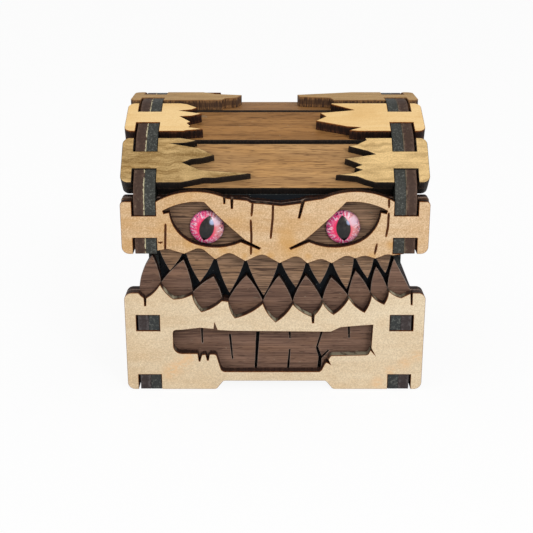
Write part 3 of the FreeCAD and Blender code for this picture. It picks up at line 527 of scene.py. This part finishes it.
def glass_eye(name, eyes, centre, radius, lean):
    """A printed iris under a glass dome: radial flecks, dark rim specks and a slit pupil, with painted light
    and shade: a paler side, a broad sheen, a window's reflection and a dark ring at the glass edge.
    """
    finish = Finish(name)
    across, _, up = (part / radius for part in finish.coordinates(centre))
    x, _, z = (part / radius for part in finish.coordinates(centre, lean))
    reach = (x * x + z * z) ** 0.5
    ray = finish.node("ShaderNodeCombineXYZ", {}, {0: x / reach, 1: z / reach, 2: reach})
    # the ray has no unit, so the sizes of its noise are thousandths
    petals = finish.noise((140, 140, 300), detail=3, roughness=0.7, vector=ray)
    threads = finish.noise((70, 70, 420), detail=2, roughness=0.6, vector=ray)
    dots = finish.noise((0.55, 0.55, 0.55), detail=1, shift=0.35)
    outer = reach.rise(0.52, 0.74)
    shade = finish.mix((outer * 0.7 + (threads - 0.5) * 0.9).clamped(), eyes.iris, eyes.iris_pale)
    # Painted light: the right-hand side of the iris turns paler, in salmon, and its dark threads fade there.
    lit = (across * 0.9 + up * 0.2).rise(0.0, 0.7)
    shade = finish.mix(lit * 0.85 * reach.rise(0.25, 0.62), shade, eyes.salmon)
    shade = finish.mix(petals.rise(0.46, 0.62) * outer * 0.9, shade, eyes.fleck)
    shade = finish.mix(threads.rise(0.46, 0.36) * outer * 0.55 * (1 - lit * 0.6), shade, eyes.iris)
    specks = dots.rise(0.58, 0.64) * reach.rise(0.62, 0.84)
    sides = ((up - across * 1.4).rise(0.5, 1.1) + across.rise(0.55, 0.85)).clamped()
    shade = finish.mix(specks * (0.35 + sides * 0.6), shade, eyes.rim)
    # Painted shade: a dark ring round the edge of the glass dome.
    shade = finish.mix(reach.rise(0.93, 1.0) * 0.55, shade, eyes.rim)
    glow = ((across - 0.58) ** 2 + (up - 0.42) ** 2).rise(0.13, 0.0)
    shade = finish.mix(glow * 0.8, shade, eyes.glow)
    height, width = eyes.pupil_height, eyes.pupil_width
    bow = (height**2 + width**2) / (2 * width)
    aside = abs(x) + (bow - width)
    slit = (aside * aside + z * z) ** 0.5
    smoke = finish.noise((0.8, 0.8, 1.4), detail=4, roughness=0.65, shift=0.6).rise(0.38, 0.72)
    lens = finish.mix((up + 0.5).rise(-0.2, 1.2) * (0.2 + smoke * 0.8), eyes.pupil, eyes.haze)
    pane = (across - 0.34) ** 2 + (up - 0.40) ** 2
    lens = finish.mix(pane.rise(0.045, 0.004) * 0.85, lens, eyes.glint)
    shade = finish.mix(slit.rise(bow + 0.03, bow - 0.02), shade, lens)
    return finish.surface(
        shade, 0.3, Specular_IOR_Level=0.25, Coat_Weight=0.45, Coat_Roughness=0.16, Coat_IOR=1.45
    )


# ---------------------------------------------------------------- mesh work


def keep(name, mesh, node, material=None):
    """Show mesh as a piece that stands for a CAD node and moves with its body."""
    made = bpy.data.objects.new(name, mesh)
    bpy.context.scene.collection.objects.link(made)
    if material:
        mesh.materials.clear()
        mesh.materials.append(material)
    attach(made, NODE_BODY[node])
    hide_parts(node)


def scratch(name, mesh):
    """A linked object that is no piece of the chest: a work object, or the floor."""
    made = bpy.data.objects.new(name, mesh)
    bpy.context.scene.collection.objects.link(made)
    return made


def evaluated(thing):
    """The plain mesh that an object's modifiers make; they and the object are deleted."""
    graph = bpy.context.evaluated_depsgraph_get()
    mesh = bpy.data.meshes.new_from_object(thing.evaluated_get(graph))
    thing.modifiers.clear()
    bpy.data.objects.remove(thing)
    return mesh


@contextmanager
def edited(mesh):
    """A mesh opened for editing, and written back at the end."""
    work = bmesh.new()
    work.from_mesh(mesh)
    yield work
    work.to_mesh(mesh)
    work.free()


def shaded(mesh, sharp=28):
    """Smooth a mesh, but for edges that turn by more than sharp degrees."""
    mesh.shade_smooth()
    mesh.set_sharp_from_angle(angle=math.radians(sharp))
    return mesh


WELD = 0.001 * MM
FLAT_TURN = math.radians(0.5)


def chamfered(node, width, corner, clamp):
    """A work object with a copy of a node's mesh, its loose triangles joined and flat faces
    whole, and a chamfer along every edge that turns by more than corner degrees."""
    mesh = frame["nodes"][node].data.copy()
    with edited(mesh) as work:
        bmesh.ops.remove_doubles(work, verts=work.verts, dist=WELD)
        bmesh.ops.dissolve_limit(
            work, angle_limit=FLAT_TURN, verts=work.verts, edges=work.edges, delimit=set()
        )
    piece = scratch(f"{node}_work", mesh)
    chamfer = piece.modifiers.new("Chamfer", "BEVEL")
    chamfer.width = width
    chamfer.segments = 1
    chamfer.limit_method = "ANGLE"
    chamfer.angle_limit = math.radians(corner)
    chamfer.use_clamp_overlap = clamp
    return piece


PARALLEL = 0.999  # cosine between a face's normal and the plate's, for a broad side
SKIN = 0.01  # share of the thickness within which a broad side lies


def broad_sides(mesh):
    """Unit normal of a plate's broad sides and how far along it the two of them lie."""
    areas, levels = {}, {}
    for face in mesh.polygons:
        key = tuple(round(part, 2) for part in face.normal)
        total, normal = areas.get(key, (0, face.normal.copy()))
        areas[key] = (total + face.area, normal)
    normal = max(areas.values(), key=lambda entry: entry[0])[1]
    for face in mesh.polygons:
        if abs(face.normal.dot(normal)) > PARALLEL:
            level = round(face.center.dot(normal), 5)
            levels[level] = levels.get(level, 0) + face.area
    low, high = sorted(sorted(levels, key=levels.get)[-2:])
    return normal, low, high


def mark_cuts(mesh, middle):
    """Store where the laser cut, which way each cut faces, and how deep each point lies."""
    normal, low, high = broad_sides(mesh)
    if (low + high) / 2 < middle.dot(normal):
        normal, low, high = -normal, -high, -low
    thick = high - low
    depth = mesh.attributes.new("ply_depth", "FLOAT", "POINT")
    for vertex in mesh.vertices:
        depth.data[vertex.index].value = (vertex.co.dot(normal) - low) / thick
    cut = mesh.attributes.new("cut", "FLOAT", "CORNER")
    lean = mesh.attributes.new("lean", "FLOAT", "CORNER")
    for face in mesh.polygons:
        flat = abs(face.normal.dot(normal)) > PARALLEL
        share = (face.center.dot(normal) - low) / thick
        whole = flat and (share < SKIN or share > 1 - SKIN)
        for corner in face.loop_indices:
            cut.data[corner].value = 0.0 if whole else 1.0
            lean.data[corner].value = face.normal.x


def dress(node, material, bevel, engraving=None):
    """Replace a plate by a copy with chamfered edges, and engrave it where asked."""
    piece = chamfered(node, bevel, corner=32, clamp=False)
    if engraving:
        carve = piece.modifiers.new("Engraving", "BOOLEAN")
        carve.operation = "DIFFERENCE"
        carve.solver = "EXACT"
        carve.object = engraving
    mesh = evaluated(piece)
    mesh.name = node
    low, high = CAD_BOX
    mark_cuts(mesh, (low + high) / 2)
    keep(f"{node}_ply", shaded(mesh), node, material)


def new_tree(name, *inputs):
    """A geometry tree with a material and other named inputs: (name, socket kind, default)."""
    tree = bpy.data.node_groups.new(name, "GeometryNodeTree")
    tree.interface.new_socket("Geometry", in_out="INPUT", socket_type="NodeSocketGeometry")
    tree.interface.new_socket("Geometry", in_out="OUTPUT", socket_type="NodeSocketGeometry")
    for title, kind, default in (*inputs, ("Material", "Material", None)):
        socket = tree.interface.new_socket(title, in_out="INPUT", socket_type=f"NodeSocket{kind}")
        if default is not None:
            socket.default_value = default
    return tree, tree.nodes.new("NodeGroupInput"), tree.nodes.new("NodeGroupOutput")


def wire(tree, kind, settings=None, **inputs):
    """Add a geometry node; its inputs are values or the outputs of other nodes."""
    made = tree.nodes.new(kind)
    for name, setting in (settings or {}).items():
        setattr(made, name, setting)
    for name, value in inputs.items():
        socket = made.inputs[name.replace("_", " ")]
        if isinstance(value, bpy.types.NodeSocket):
            tree.links.new(value, socket)
        else:
            socket.default_value = value
    return made


def end_tree(tree, given, result, geometry):
    """Make a tree's instances real, put them in the given material and send them out."""
    real = wire(tree, "GeometryNodeRealizeInstances", Geometry=geometry)
    painted = wire(
        tree, "GeometryNodeSetMaterial", Geometry=real.outputs["Geometry"],
        Material=given.outputs["Material"],
    )
    tree.links.new(painted.outputs["Geometry"], result.inputs["Geometry"])
    return tree


def grow(base, tree, values):
    """Run a tree on an object's mesh and return the plain mesh that it makes."""
    modifier = base.modifiers.new(tree.name, "NODES")
    modifier.node_group = tree
    for item in tree.interface.items_tree:
        if item.item_type == "SOCKET" and item.in_out == "INPUT" and item.name in values:
            modifier[item.identifier] = values[item.name]
    return evaluated(base)


# ---------------------------------------------------------------- pieces

PLIES = {
    "pale": ("base_front_face", "base_back_face"),
    "warm": ("lid_face", "lid_back_face"),
    "upper": ("lid_face_backing", "lid_back_backing"),
    "lower": ("base_front_backing", "base_back_backing"),
    "black": (
        "base_front_liner", "base_back_liner", "base_floor", "lid_front_liner", "lid_back_liner",
    ),
}
ROWS = ("front_lower", "front_upper", "top", "back_upper", "back_lower")

# Heat marks and painted shade in the corners between crowns, brows and eyes on the lid's birch, pink figure
# in the base's, and ashy film and painted glints on the front's cut edges in both: x, z and radius in
# millimetres.
SCORCH_AND_SHADE_SPOTS = (
    (-25.2, 47.0, 3.2), (-21.6, 46.4, 2.6), (-15.3, 44.9, 2.4), (-9.1, 42.9, 1.6), (-5.3, 44.4, 2.2),
    (-1.2, 43.2, 2.0), (4.0, 46.0, 5.0), (3.2, 49.4, 4.4), (9.7, 42.9, 1.8), (28.5, 43.0, 2.2),
    (34.0, 46.4, 2.4), (-36.5, 45.8, 2.0),
)
FIGURE = (
    (-32, 5.6, 4.2), (-28.8, 8.2, 4.4), (-25.6, 10.6, 3.4), (31.8, 2.0, 3.6), (35.4, 5.6, 3.6),
    (39.6, 8.6, 3.4), (43.0, 11.0, 2.6),
)
ASH_AND_GLINT_SPOTS = (
    (-32.7, 31.6, 2.0), (-30.4, 29.8, 2.2), (-27.7, 29.3, 2.0), (-24.0, 28.2, 2.0), (-22.1, 26.0, 2.4),
    (-13.1, 25.6, 2.2), (-11.2, 24.6, 2.0), (-2.0, 24.4, 2.0), (-0.2, 22.4, 1.8), (7.5, 26.2, 2.6),
    (9.8, 25.0, 2.6), (11.8, 24.0, 2.2), (15.2, 27.0, 2.2), (16.6, 25.8, 1.8), (22.9, 28.8, 1.8),
    (30.4, 30.0, 1.6), (35.4, 31.2, 2.0), (38.0, 30.6, 1.8), (-32.5, 15.5, 2.6), (-31.5, 12.0, 2.0),
    (18.5, 11.2, 3.0), (21.5, 11.3, 3.4), (24.8, 11.3, 3.4), (27.8, 11.5, 2.6), (29.4, 13.8, 2.2),
    (-16.2, 63.6, 1.6), (-12.4, 62.2, 1.6), (-4.8, 60.3, 1.8), (-2.6, 60.2, 1.8), (8.2, 60.8, 1.5),
)

# Engraved lines on the lid's face: x and z in millimetres along each.
SCORES = (
    ((-31.9, 53.0), (-32.1, 48.8), (-32.3, 43.6)),
    ((-34.3, 47.3), (-33.6, 47.1), (-32.9, 47.4)),
    ((-6.5, 59.4), (-6.7, 57.0), (-6.9, 55.1)),
    ((-7.1, 54.2), (-6.9, 49.0), (-7.1, 43.4)),
    ((-0.6, 59.2), (-0.7, 54.6), (-1.3, 48.3)),
    ((32.9, 60.6), (33.0, 57.6)),
    ((33.0, 56.3), (32.9, 52.0), (32.4, 48.8)),
    ((29.9, 46.9), (29.3, 43.5)),
)


def score_tree():
    """Round bars along drawn lines, tapered to both ends."""
    tree, given, result = new_tree(
        "Score lines", ("Width", "Float", 0.8 * MM), ("Step", "Float", 0.7 * MM)
    )
    curve = wire(tree, "GeometryNodeMeshToCurve", Mesh=given.outputs["Geometry"])
    even = wire(
        tree, "GeometryNodeResampleCurve", {"mode": "LENGTH"}, Curve=curve.outputs["Curve"],
        Length=given.outputs["Step"],
    )
    share = wire(tree, "GeometryNodeSplineParameter")
    taper = wire(tree, "ShaderNodeFloatCurve", Value=share.outputs["Factor"])
    points = taper.mapping.curves[0].points
    points[0].location, points[1].location = (0, 0.55), (1, 0.5)
    for position in (0.08, 0.9):
        points.new(position, 1.0)
    taper.mapping.update()
    half = wire(tree, "ShaderNodeMath", {"operation": "MULTIPLY"})
    tree.links.new(given.outputs["Width"], half.inputs[0])
    half.inputs[1].default_value = 0.5
    ring = wire(tree, "GeometryNodeCurvePrimitiveCircle", Resolution=10, Radius=half.outputs[0])
    bars = wire(
        tree, "GeometryNodeCurveToMesh", Curve=even.outputs["Curve"],
        Profile_Curve=ring.outputs["Curve"], Scale=taper.outputs["Value"], Fill_Caps=True,
    )
    return end_tree(tree, given, result, bars.outputs["Mesh"])


def score_bars(width, material):
    """The bars that the engraving leaves room for, on the lid's front plane."""
    mesh = bpy.data.meshes.new("scores")
    points, edges = [], []
    for line in SCORES:
        edges += [(len(points) + step, len(points) + step + 1) for step in range(len(line) - 1)]
        points += [(x * MM, FRONT, z * MM) for x, z in line]
    mesh.from_pydata(points, edges, [])
    bars = grow(scratch("scores_work", mesh), score_tree(), {"Width": width, "Material": material})
    return scratch("score_bars", bars)


class CHEST_OT_uprights(bpy.types.Operator):
    """Dress the front and back plies: birch faces, dark backings, black liners and floor"""

    bl_idname = "chest.uprights"
    bl_label = "Front and back plies"

    def execute(self, context):
        wood, edges = context.scene.chest_wood, context.scene.chest_edges
        burnt = (wood.char, wood.char_brown, wood.rim)
        umber = (wood.umber, wood.umber_brown, wood.rim)
        # The backings' cut edges end in a painted highlight along their outer corner.
        char_with_rim_highlight = (wood.char, wood.char_brown, wood.rim_highlight)
        materials = {
            "pale": birch(
                "birch", wood, wood.birch, wood.birch_tan, umber, smoke=0.12, speckle=0.4, leftward=0.3,
                figure=FIGURE, ash_and_glint=wood.ash_and_glint,
            ),
            "warm": birch(
                "birch_warm", wood, wood.warm, wood.warm_tan, burnt, leftward=0.35, scorch_and_shade_spots=SCORCH_AND_SHADE_SPOTS,
                ash_and_glint=wood.ash_and_glint,
            ),
            "upper": walnut("walnut_upper", wood, wood.tooth, wood.tooth_dark, char_with_rim_highlight, line=0.28, depth=0.62),
            "lower": walnut("walnut_lower", wood, wood.jaw, wood.jaw_dark, char_with_rim_highlight, line=0.26, depth=0.42),
            "black": black_ply("black_ply", wood, wood.black),
        }
        bars = score_bars(edges.score_width, materials["warm"])
        for group, nodes in PLIES.items():
            for node in nodes:
                dress(node, materials[group], edges.bevel, bars if node == "lid_face" else None)
        bpy.data.objects.remove(bars)
        return {"FINISHED"}


class CHEST_OT_walls(bpy.types.Operator):
    """Dress the double side walls, whose tabs reach through the front and back"""

    bl_idname = "chest.walls"
    bl_label = "Side walls"

    def execute(self, context):
        wood, edges = context.scene.chest_wood, context.scene.chest_edges
        ends = {
            "base": (wood.tab_dark, wood.tab_grey, wood.tab_grey),
            "lid": (wood.tab_brown, wood.tab_light, wood.tab_light),
        }
        stains = {"base": wood.black, "lid": wood.black_wall}
        for part, shades in ends.items():
            inner = black_ply(f"black_{part}_wall", wood, stains[part], Y_GRAIN)
            outer = walnut(
                f"walnut_{part}_wall", wood, wood.tooth, wood.tooth_dark, shades, GRAINY, Y_GRAIN,
                glue=part == "lid",
            )
            for side in SIDES:
                dress(f"{part}_outer_wall_{side}", outer, edges.bevel)
                dress(f"{part}_inner_wall_{side}", inner, edges.bevel)
        return {"FINISHED"}


class CHEST_OT_planks(bpy.types.Operator):
    """Dress the lid's planks and the broken birch strips over their ends"""

    bl_idname = "chest.planks"
    bl_label = "Planks and strips"

    def execute(self, context):
        wood, edges = context.scene.chest_wood, context.scene.chest_edges
        burnt = (wood.char, wood.char_brown, wood.rim)
        sooty = (wood.soot, wood.soot_brown, wood.soot_rim)
        short = {"run": 9, "line": 0.32, "depth": 0.5, "fill": 0.55}
        low = walnut("walnut_plank", wood, wood.plank, wood.plank_dark, sooty, THROUGH_SLOPE, **short)
        # Painted shade: the upper and top planks take a darker copy of the same walnut.
        high = walnut("walnut_ridge", wood, wood.shaded_plank, wood.shaded_plank_dark, sooty, THROUGH_SLOPE, **short)
        gold = birch(
            "birch_gold", wood, wood.gold, wood.gold_tan, burnt, THROUGH_SLOPE, smoke=0.3, speckle=0.18
        )
        toast = birch(
            "birch_toasted", wood, wood.toast, wood.toast_tan,
            (wood.toast_char, wood.toast_brown, wood.toast_brown), THROUGH_SLOPE, mottle=0.6,
            speckle=0.3,
        )
        olive = birch(
            "birch_smoked", wood, wood.olive, wood.olive_tan, sooty, THROUGH_SLOPE, mottle=0.7,
            smoke=0.15, speckle=0.22, leftward=0.5,
        )
        for row in ROWS:
            plank = low if row.endswith("lower") else high
            strip = {"lower": olive, "upper": gold, "top": toast}[row.split("_")[-1]]
            dress(f"lid_plank_{row}", plank, edges.bevel)
            for side in SIDES:
                dress(f"lid_strip_{row}_{side}", strip, edges.bevel)
        return {"FINISHED"}


def dome_mesh(low, high, eyes):
    """A glass cap: a short upright rim and a spherical crown, facing the front."""
    rings, spokes = eyes.rings, eyes.spokes
    centre = (low + high) / 2
    radius, tall = (high.x - low.x) / 2, high.y - low.y
    rim = tall * eyes.rim_share
    crown = tall - rim
    ball = (radius**2 + crown**2) / (2 * crown)
    outline = [(radius, 0.0)]
    for ring in range(rings):
        angle = math.asin(radius / ball) * (1 - ring / rings)
        outline.append((ball * math.sin(angle), rim + ball * math.cos(angle) - (ball - crown)))
    points = [
        (centre.x + r * math.cos(turn), high.y - y, centre.z + r * math.sin(turn))
        for r, y in outline
        for turn in (math.tau * spoke / spokes for spoke in range(spokes))
    ]
    top = len(points)
    points.append((centre.x, low.y, centre.z))
    faces = [tuple(range(spokes))]
    for ring in range(rings):
        for spoke in range(spokes):
            follow = (spoke + 1) % spokes
            a, b = ring * spokes + spoke, ring * spokes + follow
            faces.append((a, a + spokes, b + spokes, b))
    last = rings * spokes
    faces += [(last + spoke, top, last + (spoke + 1) % spokes) for spoke in range(spokes)]
    mesh = bpy.data.meshes.new("dome")
    mesh.from_pydata(points, [], faces)
    with edited(mesh) as work:
        bmesh.ops.recalc_face_normals(work, faces=work.faces)
    return shaded(mesh, 40)


class CHEST_OT_eyes(bpy.types.Operator):
    """Make the two glass eyes with their printed irises"""

    bl_idname = "chest.eyes"
    bl_label = "Glass eyes"

    def execute(self, context):
        eyes = context.scene.chest_eyes
        for side, (low, high) in EYE_BOXES.items():
            lean = getattr(eyes, f"{side}_lean")
            material = glass_eye(f"glass_{side}", eyes, (low + high) / 2, (high.x - low.x) / 2, lean)
            keep(f"eye_{side}_dome", dome_mesh(low, high, eyes), f"eye_{side}", material)
        return {"FINISHED"}


class CHEST_OT_hinges(bpy.types.Operator):
    """Dress the brass hinge leaves and pins"""

    bl_idname = "chest.hinges"
    bl_label = "Hinges"

    def execute(self, context):
        metal, edges = context.scene.chest_metal, context.scene.chest_edges
        material = brass("brass", metal, metal.leaf)
        for side in SIDES:
            for part in ("base_leaf", "lid_leaf", "pin"):
                node = f"hinge_{side}_{part}"
                piece = chamfered(node, edges.metal_bevel, corner=50, clamp=True)
                keep(f"{node}_brass", shaded(evaluated(piece)), node, material)
        return {"FINISHED"}


# A screw head's outline from its seat up and the slot's depth, in radii and heights.
HEAD_OUTLINE = ((1.0, 0.0), (1.0, 0.25), (0.88, 0.62), (0.66, 0.9), (0.36, 1.0))
HEAD_SPOKES = 28
SLOT_DEPTH = 0.45


def screw_mesh(radius, tall, slot):
    """One slotted round head, its seat at the origin and its crown towards +Y."""
    mesh = bpy.data.meshes.new("screw_head")
    turns = [math.tau * spoke / HEAD_SPOKES for spoke in range(HEAD_SPOKES)]
    rings = []
    with edited(mesh) as work:
        for share, rise in HEAD_OUTLINE:
            places = [(math.cos(turn) * share, rise, math.sin(turn) * share) for turn in turns]
            rings.append([work.verts.new((x * radius, y * tall, z * radius)) for x, y, z in places])
        for ring, inner in zip(rings, rings[1:]):
            for spoke in range(HEAD_SPOKES):
                follow = (spoke + 1) % HEAD_SPOKES
                work.faces.new((ring[spoke], ring[follow], inner[follow], inner[spoke]))
        work.faces.new(rings[0])
        work.faces.new(rings[-1])
        bmesh.ops.recalc_face_normals(work, faces=work.faces)
    head = scratch("screw_head_work", mesh)
    bar = bpy.data.meshes.new("slot_bar")
    with edited(bar) as work:
        bmesh.ops.create_cube(work, size=1, matrix=Matrix.Diagonal((radius * 3, tall, slot, 1)))
    bar.transform(Matrix.Translation((0, tall * (1.5 - SLOT_DEPTH), 0)))
    cutter = scratch("slot_bar", bar)
    groove = head.modifiers.new("Slot", "BOOLEAN")
    groove.object = cutter
    made = evaluated(head)
    bpy.data.objects.remove(cutter)
    return shaded(made, 35)


def screw_tree():
    """Stand the given screw on every point, each turned about its own axis."""
    tree, given, result = new_tree("Screws", ("Screw", "Object", None), ("Seed", "Int", 0))
    screw = wire(tree, "GeometryNodeObjectInfo", Object=given.outputs["Screw"])
    turn = wire(
        tree, "FunctionNodeRandomValue", {"data_type": "FLOAT_VECTOR"}, Min=(0, 0, 0), Max=(0, math.pi, 0),
        Seed=given.outputs["Seed"],
    )
    stand = wire(
        tree, "GeometryNodeInstanceOnPoints", Points=given.outputs["Geometry"],
        Instance=screw.outputs["Geometry"], Rotation=turn.outputs["Value"],
    )
    return end_tree(tree, given, result, stand.outputs["Instances"])


class CHEST_OT_screws(bpy.types.Operator):
    """Set slotted screws in both rows of the hinges' holes"""

    bl_idname = "chest.screws"
    bl_label = "Hinge screws"

    def execute(self, context):
        sizes, metal = context.scene.chest_screws, context.scene.chest_metal
        material = brass("screw_brass", metal, metal.screw)
        head = scratch("screw_head", screw_mesh(sizes.head_radius, sizes.head_height, sizes.slot_width))
        tree = screw_tree()
        for row in ("base", "lid"):
            node = f"hinge_screws_{row}"
            low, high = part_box(node)
            seat = high.y - sizes.head_height
            points = []
            for side in SIDES:
                leaf_low, leaf_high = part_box(f"hinge_{side}_{row}_leaf")
                middle = (leaf_low.x + leaf_high.x) / 2
                across = (middle - sizes.spacing / 2, middle + sizes.spacing / 2)
                points += [(x, seat, (low.z + high.z) / 2) for x in across]
            mesh = bpy.data.meshes.new("screw_places")
            mesh.from_pydata(points, [], [])
            values = {"Screw": head, "Seed": sizes.seed, "Material": material}
            keep(f"{node}_heads", grow(scratch("screws_work", mesh), tree, values), node)
        bpy.data.objects.remove(head)
        return {"FINISHED"}


# ---------------------------------------------------------------- stage

# Each lamp's place and width, and the middle of the floor and half its width, in metres.
LAMPS = {"key": ((0.34, -0.66, 0.50), 0.30), "fill": ((-0.6, -0.45, 0.4), 0.5)}
FLOOR_MIDDLE = (0, 2.5, 0)
FLOOR_REACH = 4.0


def lamp(name, place, size, power):
    """A round soft lamp that shines at the chest's middle."""
    light = bpy.data.lights.new(name, "AREA")
    light.shape = "DISK"
    light.size = size
    light.energy = power
    made = bpy.data.objects.new(name, light)
    bpy.context.scene.collection.objects.link(made)
    made.location = place
    low, high = CAD_BOX
    aim = (low + high) / 2 - made.location
    made.rotation_euler = aim.to_track_quat("-Z", "Y").to_euler()


def floor_material(shade):
    """A pale floor that keeps soft shadows and shows nearly white to the camera."""
    finish = Finish("floor")
    plain = finish.node("ShaderNodeBsdfDiffuse", {}, {"Color": (*shade, 1)})
    white = finish.node("ShaderNodeEmission", {}, {"Color": (1, 1, 1, 1), "Strength": 1.0})
    seen = finish.node("ShaderNodeLightPath", output="Is Camera Ray") * 0.92
    finish.node_output(finish.node("ShaderNodeMixShader", {}, {0: seen, 1: plain, 2: white}))
    return finish.material


def surroundings(strength):
    """Even studio light, which is white where the camera looks past the floor."""
    world = bpy.data.worlds.new("studio")
    world.use_nodes = True
    tree = world.node_tree
    back = tree.nodes["Background"]
    path = tree.nodes.new("ShaderNodeLightPath")
    level = tree.nodes.new("ShaderNodeMapRange")
    level.inputs["To Min"].default_value = strength
    level.inputs["To Max"].default_value = 1.0
    tree.links.new(path.outputs["Is Camera Ray"], level.inputs["Value"])
    tree.links.new(level.outputs["Result"], back.inputs["Strength"])
    back.inputs["Color"].default_value = (1, 1, 1, 1)
    return world


class CHEST_OT_stage(bpy.types.Operator):
    """Lay the floor, set the lamps and place the camera"""

    bl_idname = "chest.stage"
    bl_label = "Stage"

    def execute(self, context):
        stage = context.scene.chest_stage
        mesh = bpy.data.meshes.new("floor")
        corners = [
            Vector(FLOOR_MIDDLE) + FLOOR_REACH * Vector(way)
            for way in ((-1, -1, 0), (1, -1, 0), (1, 1, 0), (-1, 1, 0))
        ]
        mesh.from_pydata(corners, [], [(0, 1, 2, 3)])
        mesh.materials.append(floor_material(stage.floor))
        scratch("floor", mesh)
        context.scene.world = surroundings(stage.ambient)
        for name, (place, size) in LAMPS.items():
            lamp(name, place, size, getattr(stage, name))
        camera = bpy.data.objects.new("camera", bpy.data.cameras.new("camera"))
        context.scene.collection.objects.link(camera)
        camera.data.lens = stage.camera_lens
        camera.data.clip_start = 0.01
        camera.location = (-stage.camera_side, FRONT - stage.camera_distance, stage.camera_height)
        camera.rotation_euler = (math.pi / 2 - stage.camera_pitch, 0, 0)
        context.scene.camera = camera
        context.scene.view_settings.view_transform = "Standard"
        return {"FINISHED"}


class CHEST_PT_panel(bpy.types.Panel):
    """Sizes and colours of the chest, with a button for each group of pieces"""

    bl_idname = "CHEST_PT_panel"
    bl_label = "Layered chest"
    bl_space_type = "VIEW_3D"
    bl_region_type = "UI"
    bl_category = "Chest"

    def draw(self, context):
        for name, group in SETTINGS.items():
            box = self.layout.box()
            for field in group.__annotations__:
                box.prop(getattr(context.scene, name), field)
        for operator in OPERATORS:
            self.layout.operator(operator.bl_idname)


OPERATORS = (
    CHEST_OT_uprights, CHEST_OT_walls, CHEST_OT_planks, CHEST_OT_eyes, CHEST_OT_hinges, CHEST_OT_screws,
    CHEST_OT_stage,
)
CLASSES = (*SETTINGS.values(), *OPERATORS, CHEST_PT_panel)


def register():
    for made in CLASSES:
        bpy.utils.register_class(made)
    for name, group in SETTINGS.items():
        setattr(bpy.types.Scene, name, PointerProperty(type=group))


def unregister():
    for name in SETTINGS:
        delattr(bpy.types.Scene, name)
    for made in reversed(CLASSES):
        bpy.utils.unregister_class(made)


def main():
    register()
    for operator in OPERATORS:
        getattr(bpy.ops.chest, operator.bl_idname.split(".")[1])()


if __name__ == "__main__":
    main()
